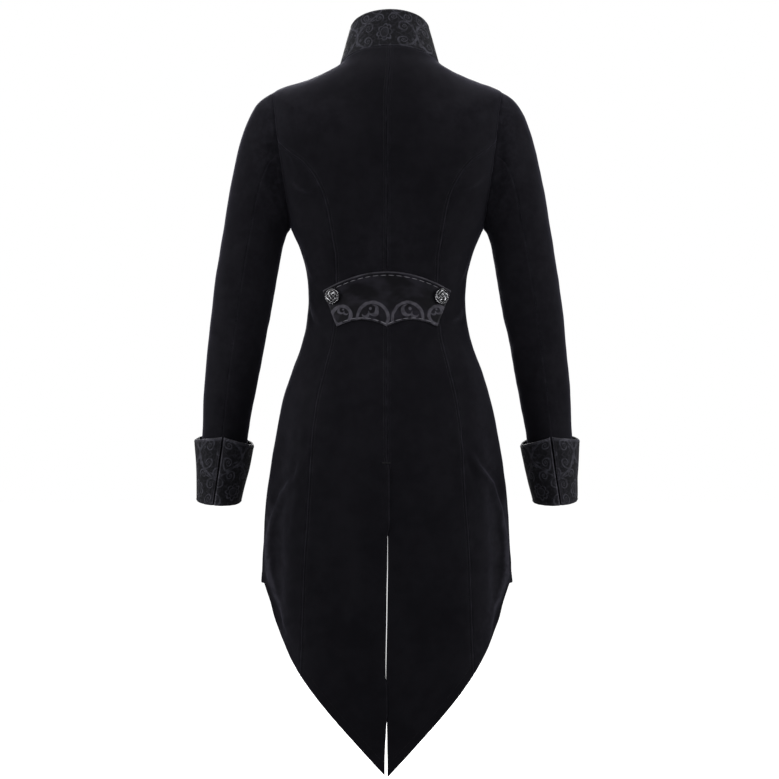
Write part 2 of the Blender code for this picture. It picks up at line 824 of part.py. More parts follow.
def build_collar():
    add_cloth("collar", collar, collar_grid(), damask(), -COLLAR_CLOTH, 0, False, collar_normal)


def build_belt():
    """The half-belt and the two buttons that hold it."""
    add_cloth("half_belt", body, belt_grid(), satin(), BELT_LIFT, BELT_LIFT + BELT_CLOTH)
    x, z = BACK_BUTTON
    turn = crossing(lambda turn: body(turn, z).x - x, 0, 80)
    for side, mirrored in (("left", False), ("right", True)):
        lift = BELT_LIFT + BELT_CLOTH
        add_button(f"back_button_{side}", BACK_BUTTON_RADIUS, (turn, z), mirrored, lift)


def build_front_buttons():
    for number, level in enumerate(FRONT_BUTTON_LEVELS, 1):
        lift = CLOTH + LAP_GAP
        add_button(f"front_button_{number}", FRONT_BUTTON_RADIUS, (180, level), lift=lift)


def clear_scene():
    for old in list(bpy.data.objects):
        bpy.data.objects.remove(old)


clear_scene()
build_body()
build_sleeves()
build_collar()
build_belt()
build_front_buttons()
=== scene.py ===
"""The looks of a woman's velvet tailcoat, in the hollow shape it has when worn.

Metres, +Z up. The front faces -Y and the wearer's left is +X. Sizes in tables and
dataclasses are in millimetres, as cut, and MM turns them into metres.

The coat's body is one smooth form. A place on it has a turn, in degrees round the
body from the centre back (0) over the side (90) to the centre front (180), and a
level, the height of its ring at the centre back. Each cut piece is a thin shell of
cloth over its own stretch of that form, with its seams, stitching and creases.
"""

import logging
import math
from dataclasses import dataclass, field
from enum import Enum
from functools import partialmethod
from typing import Callable, NamedTuple

import bmesh
import bpy
import numpy as np
from mathutils import Matrix, Vector, kdtree


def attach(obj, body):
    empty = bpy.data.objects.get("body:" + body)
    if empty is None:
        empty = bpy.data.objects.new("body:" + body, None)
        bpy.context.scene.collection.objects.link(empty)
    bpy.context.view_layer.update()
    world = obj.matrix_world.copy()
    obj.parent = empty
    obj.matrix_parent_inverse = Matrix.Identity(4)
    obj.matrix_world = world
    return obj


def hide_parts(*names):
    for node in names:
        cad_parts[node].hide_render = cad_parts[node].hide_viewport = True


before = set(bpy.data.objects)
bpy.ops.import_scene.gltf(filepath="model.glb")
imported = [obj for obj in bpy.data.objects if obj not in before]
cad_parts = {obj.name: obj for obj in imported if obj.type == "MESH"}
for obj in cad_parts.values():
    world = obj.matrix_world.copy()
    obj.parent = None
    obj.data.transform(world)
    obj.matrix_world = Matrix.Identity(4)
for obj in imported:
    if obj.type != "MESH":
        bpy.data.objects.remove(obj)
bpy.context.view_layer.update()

MM = 0.001
log = logging.getLogger("tailcoat")

Array = np.ndarray
LevelOf = Callable[[Array, Array], Array]
EdgeOf = Callable[[Array], Array]
Piece = bpy.types.Object
Socket = bpy.types.NodeSocket


class Ring(NamedTuple):
    """A ring of the body. roll rounds the shoulder's top, square is under 1 where the
    ring is boxy, and pinch is over 1 where the side stands out as a soft crease."""

    level: float
    side_z: float
    front_z: float
    half_width: float
    back: float
    front: float
    roll: float
    square: float
    pinch: float


BODY_RINGS = [
    Ring(29, -2, -50, 81, 60, 66, 1.00, 1.00, 1.00),
    Ring(15, -3, -58, 88, 67, 72, 1.10, 1.00, 1.00),
    Ring(-6, -12, -74, 111, 79, 83, 1.30, 0.97, 0.97),
    Ring(-33, -22, -96, 139, 90, 95, 1.50, 0.94, 0.94),
    Ring(-64, -30, -120, 165, 98, 106, 1.70, 0.92, 0.92),
    Ring(-92, -38, -140, 181, 103, 113, 1.80, 0.90, 0.90),
    Ring(-104, -45, -149, 185.5, 104, 115, 1.80, 0.90, 0.90),
    Ring(-140, -96, -176, 185, 106, 119, 1.80, 0.90, 0.90),
    Ring(-195, -176, -212, 175, 104, 122, 1.60, 0.90, 0.90),
    Ring(-254, -254, -254, 154, 95, 120, 1.50, 0.90, 0.90),
    Ring(-292, -292, -292, 138, 85, 110, 1.50, 0.92, 0.92),
    Ring(-331, -331, -331, 128, 76, 98, 1.50, 0.94, 0.94),
    Ring(-370, -370, -370, 125, 71, 91, 1.50, 0.95, 0.95),
    Ring(-408, -408, -408, 128, 76, 95, 1.50, 0.95, 0.96),
    Ring(-446, -446, -446, 138, 88, 101, 1.50, 0.95, 0.98),
    Ring(-485, -485, -485, 152, 100, 105, 1.50, 0.95, 1.00),
    Ring(-542, -542, -542, 168, 112, 108, 1.50, 0.95, 1.05),
    Ring(-620, -620, -620, 182, 117, 109, 1.50, 0.95, 1.15),
    Ring(-696, -696, -696, 190, 117, 109, 1.50, 0.96, 1.28),
    Ring(-773, -773, -773, 195, 115, 109, 1.50, 0.98, 1.38),
    Ring(-821, -821, -821, 197.5, 113, 109, 1.50, 1.00, 1.42),
    Ring(-1125, -1125, -1125, 209, 104, 109, 1.50, 1.00, 1.45),
]
NECK = BODY_RINGS[0]
SHOULDER_LEVEL, ARMPIT_LEVEL = -92.0, -254.0
VENT_TOP, CORNER_LEVEL, CUT_START = -632.0, -821.0, -326.0
TAIL_END, CUTAWAY_TOP = -1124.0, -380.0


class Swell(NamedTuple):
    """A soft swelling or fold of the form, with its reach up and down in mm."""

    turn: float
    level: float
    width: float
    reach_up: float
    reach_down: float
    height: float


SWELLS = [
    Swell(138, -232, 19, 48, 42, 15),
    Swell(28, -135, 22, 60, 80, 4),
    Swell(80, -900, 7, 300, 400, 7),
    Swell(64, -930, 8, 280, 400, -9),
    Swell(40, -1050, 11, 330, 400, 6),
    Swell(17, -1080, 9, 300, 400, -5),
    Swell(104, -800, 8, 250, 400, 5),
]

# Seams and hems as seen from behind: a height and the distance from the middle there
BACK_PRINCESS = {
    -130: 160, -155: 134, -181: 114, -217: 98, -273: 87, -308: 82, -365: 81,
    -423: 86, -478: 98, -523: 109, -582: 118, -665: 123, -790: 131, -960: 137,
}
FRONT_PRINCESS = {
    -145: 164, -165: 156, -190: 139, -232: 110, -290: 86, -370: 70, -440: 78,
    -520: 92, -640: 105,
}
TAIL_HEM = {
    0: -1117, 51: -1063, 84.5: -1026, 114.5: -990, 140.5: -954, 161: -918,
    177: -882, 188: -847, 195: -828, 197.5: -821,
}
CUTAWAY_HEM = {
    -16: -392, 0: -395, 35: -408, 70: -438, 100: -486, 130: -560, 158: -650,
    182: -745, 197.5: -821,
}
VENT_GAP = {
    -726: -0.2, -740: 0.3, -779: 0.6, -825: 1.0, -872: 0.9, -919: 0.8, -950: 0.4, -965: 0.1,
    -976: -0.2, -1016: -0.2, -1030: 0.4, -1051: 1.6, -1074: 3.2, -1093: 4.0, -1115: 4.2,
}
# How far the left back laps over the right one, and how far the vent leans to the right
VENT_LAP = {-618: 0.0, -640: 3.2, -724: 3.2, -742: 0.0, -962: 0.0, -977: 1.6, -1014: 1.6, -1032: 0.0}
VENT_LEAN = {
    -560: 0.0, -700: 1.2, -779: 1.0, -825: 0.3, -872: -0.3, -919: -1.2, -950: -1.6, -985: -1.0,
    -1030: -0.5, -1051: -0.7, -1075: -1.3, -1115: -1.4,
}

ARMHOLE_BACK, ARMHOLE_FRONT = 21.0, 25.0
BACK_CORNER_LEVEL, BACK_SEAM_LEVEL = -153.4, -167.3
FRONT_CORNER_LEVEL, FRONT_SEAM_LEVEL = -167.3, -175.8
SEAM_GAP, FRONT_SEAM_GAP, SLEEVE_SEAM_GAP = -0.2, -0.2, -0.2
CORNER_LEFT = 1.8
SLEEVE_SET_OUT = 0.6
VENT_LAP_RISE, VENT_LAP_REACH = 0.85, 18.0
PATH_STEP, PUCKER_WAVE = 1.5, 17.0
LEAN, LEAN_FROM, LEAN_TO = 4.5, -64.0, 10.0
LAP, LAP_RISE_FROM, LAP_RISE_TO, LAP_HEIGHT = 15.0, 34.0, 19.0, 2.5


class Section(NamedTuple):
    """A sleeve's section: outer and inner points seen from behind, half depth,
    shift to the front, and the forearm's tilt in degrees."""

    outer_x: float
    outer_z: float
    inner_x: float
    inner_z: float
    depth: float
    forward: float
    pitch: float


SLEEVE_SECTIONS = [
    Section(181, -38, 157, -254, 52, 2, 0),
    Section(193, -45, 157.8, -257, 53, 2, 0),
    Section(206, -56, 158.5, -259, 54, 2, 0),
    Section(217, -73, 159.2, -261, 54, 2, 0),
    Section(228, -98, 160, -263, 54, 2, 0),
    Section(239.5, -137, 161, -266, 53, 2, 0),
    Section(250, -186, 162.5, -271, 53, 2, 0),
    Section(261, -254, 166, -283, 52, 2, 0),
    Section(271, -315, 174.5, -329, 50, 1, 0),
    Section(279.5, -376, 185, -390, 48, 0, 1),
    Section(286.5, -440, 198, -453, 45, 2, 4),
    Section(293, -506, 210.5, -518, 42, 9, 8),
    Section(296.5, -564, 222, -575, 38.5, 18, 10),
    Section(300.5, -630, 230, -640, 36, 29, 10),
    Section(305, -691.5, 238.5, -694, 35, 39, 10),
]
LAST_STEP = len(SLEEVE_SECTIONS) - 1.0
HINDARM_ANGLE = 86.0


class Side(Enum):
    """A side of the wearer, and its sign along X."""

    LEFT = 1
    RIGHT = -1

    @property
    def word(self) -> str:
        """The side's name as the nodes have it."""
        return self.name.lower()


class Curve:
    """A smooth curve through a table's points that never overshoots them."""

    def __init__(self, table: dict[float, float]) -> None:
        """Args:
        table: The value at each knot.
        """
        self.knots = np.array(sorted(table), float)
        self.values = np.array([table[knot] for knot in sorted(table)], float)
        self.steps = np.diff(self.knots)
        slopes = np.diff(self.values) / self.steps
        before, after = slopes[:-1], slopes[1:]
        turning = before * after <= 0
        inner = np.where(turning, 0.0, 2 * before * after / np.where(turning, 1.0, before + after))
        self.grades = np.concatenate([slopes[:1], inner, slopes[-1:]])

    def at(self, place: Array) -> Array:
        """Values at places; beyond an end they stay the end's."""
        place = np.clip(place, self.knots[0], self.knots[-1])
        i = np.clip(np.searchsorted(self.knots, place, side="right") - 1, 0, len(self.steps) - 1)
        step = self.steps[i]
        t = (place - self.knots[i]) / step
        blend = t * t * (3 - 2 * t)
        value = self.values[i] * (1 - blend) + self.values[i + 1] * blend
        return value + step * (self.grades[i] * t * (1 - t) ** 2 - self.grades[i + 1] * t * t * (1 - t))


def curves_of(table: list[NamedTuple], knots: list[float]) -> dict[str, Curve]:
    """A curve for each column of a table."""
    return {
        name: Curve({knot: getattr(row, name) for knot, row in zip(knots, table)})
        for name in table[0]._fields
    }


def signed_power(value: Array, exponent: Array) -> Array:
    """A power that keeps the sign."""
    return np.sign(value) * np.abs(value) ** exponent


def smooth_step(value: Array) -> Array:
    """0 below 0, 1 above 1, and smooth between."""
    t = np.clip(value, 0.0, 1.0)
    return t * t * (3 - 2 * t)


def bell(offset: Array, width: float) -> Array:
    """1 where the offset is 0, falling off smoothly over a width."""
    return np.exp(-((offset / width) ** 2))


def unit(vectors: Array) -> Array:
    """Vectors of length one."""
    return vectors / np.maximum(np.linalg.norm(vectors, axis=-1, keepdims=True), 1e-9)


def leaned(points: Array) -> Array:
    """Points of the coat as it hangs: its neck leans a little to the wearer's right."""
    share = smooth_step((points[..., 2:] - LEAN_FROM) / (LEAN_TO - LEAN_FROM))
    return points - np.array([LEAN, 0.0, 0.0]) * share


def crossing(function: Callable[[Array], Array], low: Array, high: Array) -> Array:
    """Where a function changes sign between two places, for whole arrays at once."""
    low, high = np.array(low, float), np.array(high, float)
    at_low = function(low) > 0
    for _ in range(28):
        middle = (low + high) / 2
        same = (function(middle) > 0) == at_low
        low, high = np.where(same, middle, low), np.where(same, high, middle)
    return (low + high) / 2


class Form:
    """A surface that cloth lies on, with two coordinates."""

    step_u, step_v, facing = 0.4, 0.6, 1.0

    def point(self, u: Array, v: Array) -> Array:
        """Points of the surface, in mm."""
        raise NotImplementedError

    def normal(self, u: Array, v: Array) -> Array:
        """Outward directions at places of the surface."""
        across = self.point(u + self.step_u, v) - self.point(u - self.step_u, v)
        along = self.point(u, v + self.step_v) - self.point(u, v - self.step_v)
        return unit(np.cross(along, across)) * self.facing


def ring_point(ring: dict[str, Array], turn: Array) -> Array:
    """Points of rings at turns, without swellings."""
    sine, cosine = np.sin(np.radians(turn)), np.cos(np.radians(turn))
    depth = np.where(cosine > 0, ring["back"], ring["front"])
    end_z = np.where(cosine > 0, ring["level"], ring["front_z"])
    x = ring["half_width"] * signed_power(sine, ring["square"])
    y = depth * signed_power(cosine, ring["pinch"])
    z = ring["side_z"] + (end_z - ring["side_z"]) * np.abs(cosine) ** ring["roll"]
    return np.stack(np.broadcast_arrays(x, y, z), axis=-1)


class BodyForm(Form):
    """The body of the coat, from the neck to the tips of the tails."""

    def __init__(self) -> None:
        """Makes the curves of the rings, seams and hems."""
        self.rings = curves_of(BODY_RINGS, [ring.level for ring in BODY_RINGS])
        self.back_princess = Curve(BACK_PRINCESS)
        self.front_princess = Curve(FRONT_PRINCESS)
        self.vent, self.vent_lap, self.vent_lean = Curve(VENT_GAP), Curve(VENT_LAP), Curve(VENT_LEAN)
        turns = np.linspace(-2, 205, 830)
        tail, cutaway = Curve(TAIL_HEM), Curve(CUTAWAY_HEM)
        shape = np.ones_like(turns)
        self.hem_turns = turns
        self.tail_levels = crossing(
            lambda z: z - tail.at(self.point(turns, z)[..., 0]),
            TAIL_END * shape, (CORNER_LEVEL + 4) * shape,
        )
        self.cutaway_levels = crossing(
            lambda z: z - cutaway.at(self.point(turns, z)[..., 0]),
            (CORNER_LEVEL - 4) * shape, CUTAWAY_TOP * shape,
        )

    def point(self, u: Array, v: Array) -> Array:
        """Points at turns and levels."""
        u, v = np.broadcast_arrays(np.asarray(u, float), np.asarray(v, float))
        bare = ring_point({name: curve.at(v) for name, curve in self.rings.items()}, u)
        out = bare * np.array([1.0, 1.0, 0.0])
        return bare + unit(out) * self.swelling(u, v)[..., None]

    def swelling(self, turn: Array, level: Array) -> Array:
        """How far the form stands out at places."""
        total = np.zeros_like(turn)
        for swell in SWELLS:
            reach = np.where(level > swell.level, swell.reach_up, swell.reach_down)
            along = (level - swell.level) / reach
            for centre in (swell.turn, -swell.turn, 360 - swell.turn):
                across = (turn - centre) / swell.width
                total = total + swell.height * np.exp(-across * across - along * along)
        return total

    def tail_level(self, turn: Array) -> Array:
        """Level of the tail's hem at turns."""
        return np.interp(turn, self.hem_turns, self.tail_levels)

    def cutaway_level(self, turn: Array) -> Array:
        """Level of the front's cut-away edge at turns."""
        return np.interp(turn, self.hem_turns, self.cutaway_levels)

    def back_level(self, row: Array, turn: Array) -> Array:
        """Level of back rows, each named by its level at the side; rows below the
        vent's top lean over to the hem."""
        share = (row - VENT_TOP) / (CORNER_LEVEL - VENT_TOP)
        leaning = VENT_TOP + (self.tail_level(turn) - VENT_TOP) * share
        return np.where(row < VENT_TOP, leaning, row)

    def front_level(self, row: Array, turn: Array) -> Array:
        """Level of front rows, which lean over to the cut-away edge below the waist."""
        share = (row - CUT_START) / (CORNER_LEVEL - CUT_START)
        leaning = CUT_START + (self.cutaway_level(turn) - CUT_START) * share
        return np.where(row < CUT_START, leaning, row)

    def turn_for(self, distance: Array, turn: Array, level: Array) -> Array:
        """Degrees of turn that cover a distance along a ring."""
        run = self.point(turn + 0.5, level) - self.point(turn - 0.5, level)
        return distance / np.maximum(np.linalg.norm(run, axis=-1), 1e-6)

    def seam_turn(self, seam: Curve, level: Array, low: float, high: float) -> Array:
        """Turns at which rings cross a seam that is given as seen from behind."""

        def past_seam(turn: Array) -> Array:
            """Positive beyond the seam."""
            point = self.point(turn, level)
            return point[..., 0] - seam.at(point[..., 2])

        shape = np.ones_like(level)
        return crossing(past_seam, low * shape, high * shape)

    def line_turn(self, x: float, level: Array, low: float = 100.0, high: float = 200.0) -> Array:
        """Turns at which rings cross the upright line at x."""
        shape = np.ones_like(level)
        return crossing(lambda turn: self.point(turn, level)[..., 0] - x, low * shape, high * shape)

    def armhole_edge(self, level: Array, reach: float) -> Array:
        """Turns of the armhole's edge at levels, on the side that reach is for."""
        share = np.clip((SHOULDER_LEVEL - level) / (SHOULDER_LEVEL - ARMPIT_LEVEL), 0, 1)
        sine = np.sqrt(np.clip(1 - (1 - 2 * share) ** 2, 0, 1))
        return 90 - reach * sine**0.85

    def armhole(self, angle: Array) -> tuple[Array, Array]:
        """Turn and level on the armhole at sleeve angles."""
        angle = (angle + 180) % 360 - 180
        share = (1 - np.cos(np.radians(angle))) / 2
        sine = np.sin(np.radians(angle))
        reach = np.where(sine > 0, ARMHOLE_BACK, ARMHOLE_FRONT)
        level = SHOULDER_LEVEL + (ARMPIT_LEVEL - SHOULDER_LEVEL) * share
        return 90 - reach * signed_power(sine, 0.85), level


class SleeveForm(Form):
    """The left sleeve: an angle round the arm, 0 outside and 90 behind, and a step
    down the table of sections."""

    step_v = 0.05

    def __init__(self, body: BodyForm) -> None:
        """Args:
        body: The body that the sleeve is set into.
        """
        self.body = body
        self.sections = curves_of(SLEEVE_SECTIONS, list(range(len(SLEEVE_SECTIONS))))

    def section_point(self, angle: Array, step: Array) -> Array:
        """Points of the bare sections."""
        size = {name: curve.at(step) for name, curve in self.sections.items()}
        cosine, sine = np.cos(np.radians(angle)), np.sin(np.radians(angle))
        local_y = size["depth"] * sine
        x = (size["outer_x"] + size["inner_x"]) / 2 + (size["outer_x"] - size["inner_x"]) / 2 * cosine
        z = (size["outer_z"] + size["inner_z"]) / 2 + (size["outer_z"] - size["inner_z"]) / 2 * cosine
        y = local_y - size["forward"]
        z = z - local_y * np.tan(np.radians(size["pitch"]))
        return np.stack(np.broadcast_arrays(x, y, z), axis=-1)

    def point(self, u: Array, v: Array) -> Array:
        """Points at angles and steps. Near the armhole the sleeve takes its shape."""
        u, v = np.broadcast_arrays(np.asarray(u, float), np.asarray(v, float))
        seat = self.body.point(*self.body.armhole(u)) - self.section_point(u, np.zeros_like(v))
        seat = seat + np.array([SLEEVE_SET_OUT, 0.0, 0.0])
        return self.section_point(u, v) + seat * (1 - smooth_step(v / 6.0))[..., None]

    def normal(self, u: Array, v: Array) -> Array:
        """Outward directions; at the armhole they are the body's own."""
        inside = np.clip(v, 0.05, LAST_STEP - 0.05)
        own = super().normal(u, inside)
        seat = self.body.normal(*self.body.armhole(u))
        share = (1 - smooth_step(v / 1.0))[..., None]
        return unit(own * (1 - share) + seat * share)


class CuffForm(Form):
    """The left cuff, turned back over the sleeve: a sleeve angle and a share from
    its foot (0) to its top (1), which rises to a peak at the slit."""

    step_v, facing = 0.02, -1.0
    top_step, peak, foot_out, top_out, flare = 12.5, 0.30, 3.4, 12.0, 1.4
    inner_rise, far_rise = 0.05, 0.07
    slit_top, slit_foot, half_slit = 90.0, 79.0, 2.0

    def slit(self, share: Array) -> Array:
        """Angle of the slit, which slants towards the outer side at its foot."""
        return self.slit_foot + (self.slit_top - self.slit_foot) * share

    def __init__(self, sleeve: SleeveForm) -> None:
        """Args:
        sleeve: The sleeve under the cuff.
        """
        self.sleeve = sleeve

    def point(self, u: Array, v: Array) -> Array:
        """Points at angles and shares."""
        u, v = np.broadcast_arrays(np.asarray(u, float), np.asarray(v, float))
        from_slit = np.abs((u - self.slit_top + 180) % 360 - 180) / 100
        inner = (1 - np.cos(np.radians(u))) / 2
        far = np.maximum(0.0, -np.sin(np.radians(u)))
        top = self.top_step - self.peak * np.maximum(0.0, 1 - from_slit)
        top = top - self.inner_rise * inner - self.far_rise * np.sqrt(far)
        step = LAST_STEP + (top - LAST_STEP) * v
        out = self.foot_out + (self.top_out - self.foot_out) * np.maximum(v, 0.0) ** self.flare
        inside = np.minimum(step, LAST_STEP - 0.02)
        across = self.sleeve.point(u + 0.4, inside) - self.sleeve.point(u - 0.4, inside)
        along = self.sleeve.point(u, inside + 0.02) - self.sleeve.point(u, inside - 0.02)
        return self.sleeve.point(u, step) + unit(np.cross(along, across)) * out[..., None]

    def normal(self, u: Array, v: Array) -> Array:
        """Outward directions, taken just inside the edges."""
        return super().normal(u, np.clip(v, 0.02, 0.98))


class CollarForm(Form):
    """The stand collar: a turn round the neck and a share from seam (0) to rim (1)."""

    step_v = 0.02
    rim = Ring(88.3, 65.5, 10, 62.5, 47, 58, 1.0, 1.0, 1.0)
    seam_gap = 0.5

    def point(self, u: Array, v: Array) -> Array:
        """Points at turns and shares."""
        u, v = np.broadcast_arrays(np.asarray(u, float), np.asarray(v, float))
        mixed = {
            name: getattr(NECK, name) + (getattr(self.rim, name) - getattr(NECK, name)) * v
            for name in Ring._fields
        }
        point = ring_point(mixed, u)
        point[..., 2] += self.seam_gap * (1 - v)
        return point


class BeltForm(Form):
    """The half-belt: across from -1 to 1, and a share from its top edge (0) to its
    scalloped foot (1)."""

    step_u, step_v = 0.01, 0.01
    half_top, half_foot = 100.0, 78.0
    top_middle, top_end, foot_arch, foot_point = -328.0, -357.0, -404.0, -415.0

    def __init__(self, body: BodyForm) -> None:
        """Args:
        body: The body that the half-belt lies on.
        """
        self.body = body

    def place(self, across: Array, share: Array) -> tuple[Array, Array]:
        """Turn and level on the body."""
        top = self.top_middle + (self.top_end - self.top_middle) * across * across
        lobe = np.sin(np.pi * np.minimum(np.abs(across), 1.0))
        foot = self.foot_point + (self.foot_arch - self.foot_point) * np.maximum(lobe, 0) ** 0.8
        x = self.half_top * across + (self.half_foot - self.half_top) * across * share
        level = top + (foot - top) * share
        turn = crossing(
            lambda turn: self.body.point(turn, level)[..., 0] - np.abs(x),
            np.full_like(x, -0.5), np.full_like(x, 80.0),
        )
        return np.copysign(turn, x), level

    def point(self, u: Array, v: Array) -> Array:
        """Points at places of the belt."""
        u, v = np.broadcast_arrays(np.asarray(u, float), np.asarray(v, float))
        return self.body.point(*self.place(u, v))

    def normal(self, u: Array, v: Array) -> Array:
        """Outward directions of the body there."""
        return self.body.normal(*self.place(u, v))


class Rim(Enum):
    """An edge of a cut piece's grid."""

    START = "first column"
    END = "last column"
    TOP = "first row"
    FOOT = "last row"


class SoftNoise:
    """Smooth, seeded unevenness in space: a sum of slow waves."""

    def __init__(self, seed: int, wave: float, count: int = 9) -> None:
        """Args:
        seed: Seed of the waves.
        wave: Typical length of a wave, in mm.
        count: Number of waves.
        """
        draw = np.random.default_rng(seed)
        self.directions = unit(draw.normal(size=(count, 3))) / (wave * draw.uniform(0.6, 1.7, (count, 1)))
        self.phases = draw.uniform(0, 2 * math.pi, count)

    def at(self, points: Array) -> Array:
        """Values between about -1 and 1 at points."""
        waves = np.sin(points @ self.directions.T * 2 * math.pi + self.phases)
        return waves.sum(axis=-1) / math.sqrt(len(self.phases) * 1.5)


def nearest(points: Array, path: Array) -> tuple[Array, Array]:
    """Distance from points to a path of close points, and the path's point nearest to each."""
    tree = kdtree.KDTree(len(path))
    for index, spot in enumerate(path):
        tree.insert(spot, index)
    tree.balance()
    found = [tree.find(spot)[1:] for spot in points.reshape(-1, 3)]
    index = np.array([item[0] for item in found]).reshape(points.shape[:-1])
    distance = np.array([item[1] for item in found]).reshape(points.shape[:-1])
    return distance, index


def run_along(path: Array) -> Array:
    """Distance run along a path at each of its points."""
    return np.concatenate([[0.0], np.cumsum(np.linalg.norm(np.diff(path, axis=0), axis=1))])


def runs(points: Array) -> Array:
    """Distance run along each row of points."""
    steps = np.linalg.norm(np.diff(points, axis=1), axis=-1)
    return np.concatenate([np.zeros((len(points), 1)), np.cumsum(steps, axis=1)], axis=1)


def resample(path: Array, spacing: float) -> Array:
    """Points at an even spacing along a path."""
    run = run_along(path)
    places = np.linspace(0, run[-1], max(2, int(run[-1] / spacing) + 1))
    return np.stack([np.interp(places, run, path[:, axis]) for axis in range(3)], axis=-1)


@dataclass(frozen=True)
class EdgeWork:
    """How an edge is made up. Depths and widths are in mm."""

    roll: float = 0.9
    roll_reach: float = 1.7
    stitch_at: float = 0.0
    stitch_depth: float = 0.35
    stitch_width: float = 0.8
    puff: float = 0.0
    puff_at: float = 3.2
    puff_width: float = 1.8
    allowance: float = 0.0
    allowance_height: float = 0.0
    allowance_fade: float = 2.5
    pucker: float = 0.12
    # light, stitch_light and dash paint a highlight into the colour along the edge, broken into dashes
    # where dash is set
    light: float = 0.0
    light_at: float = 1.5
    light_width: float = 0.9
    stitch_light: float = 0.0
    stitch_light_width: float = 0.9
    dash: float = 0.0

    def shine(self, distance: Array, along: Array, run: Array, wave: SoftNoise) -> Array:
        """How much highlight is painted into the cloth's colour along the edge.

        Args:
            distance: Distance from the edge.
            along: Points of the edge nearest to each place.
            run: Distance run along the edge there.
            wave: Unevenness along the edge.

        Returns:
            0 where none is painted and about 1 where the painted highlight is strongest.
        """
        line = self.light * bell(distance - self.light_at, self.light_width)
        if self.stitch_light:
            line = line + self.stitch_light * bell(distance - self.stitch_at, self.stitch_light_width)
        if self.dash:
            line = line * np.where((run / self.dash) % 1.0 < 0.68, 1.0, 0.2)
        return line * (0.8 + 0.35 * wave.at(along))

    def height(self, distance: Array, along: Array, wave: SoftNoise) -> Array:
        """Relief at distances from the edge.

        Args:
            distance: Distance from the edge.
            along: Points of the edge nearest to each place.
            wave: Unevenness along the edge.

        Returns:
            Height over the plain cloth.
        """
        rise = -self.roll * bell(distance, self.roll_reach)
        if self.stitch_at:
            rise = rise - self.stitch_depth * bell(distance - self.stitch_at, self.stitch_width)
            rise = rise + self.puff * bell(distance - self.stitch_at * 0.5, self.stitch_at * 0.33)
        elif self.puff:
            rise = rise + self.puff * bell(distance - self.puff_at, self.puff_width)
        if self.allowance:
            turned = 1 - smooth_step((distance - self.allowance) / self.allowance_fade)
            rise = rise + self.allowance_height * turned
        reach = 6.0 + self.stitch_at
        return rise + self.pucker * wave.at(along) * bell(distance, reach)


class Crease(NamedTuple):
    """A crease: its path over the form, height, half width, how much of its
    height the trough on its outer side (positive) or inner side has, and how much
    highlight is painted into the colour along its ridge."""

    path: list[tuple[float, float]]
    height: float
    width: float
    trough: float = 0.0
    light: float = 0.0


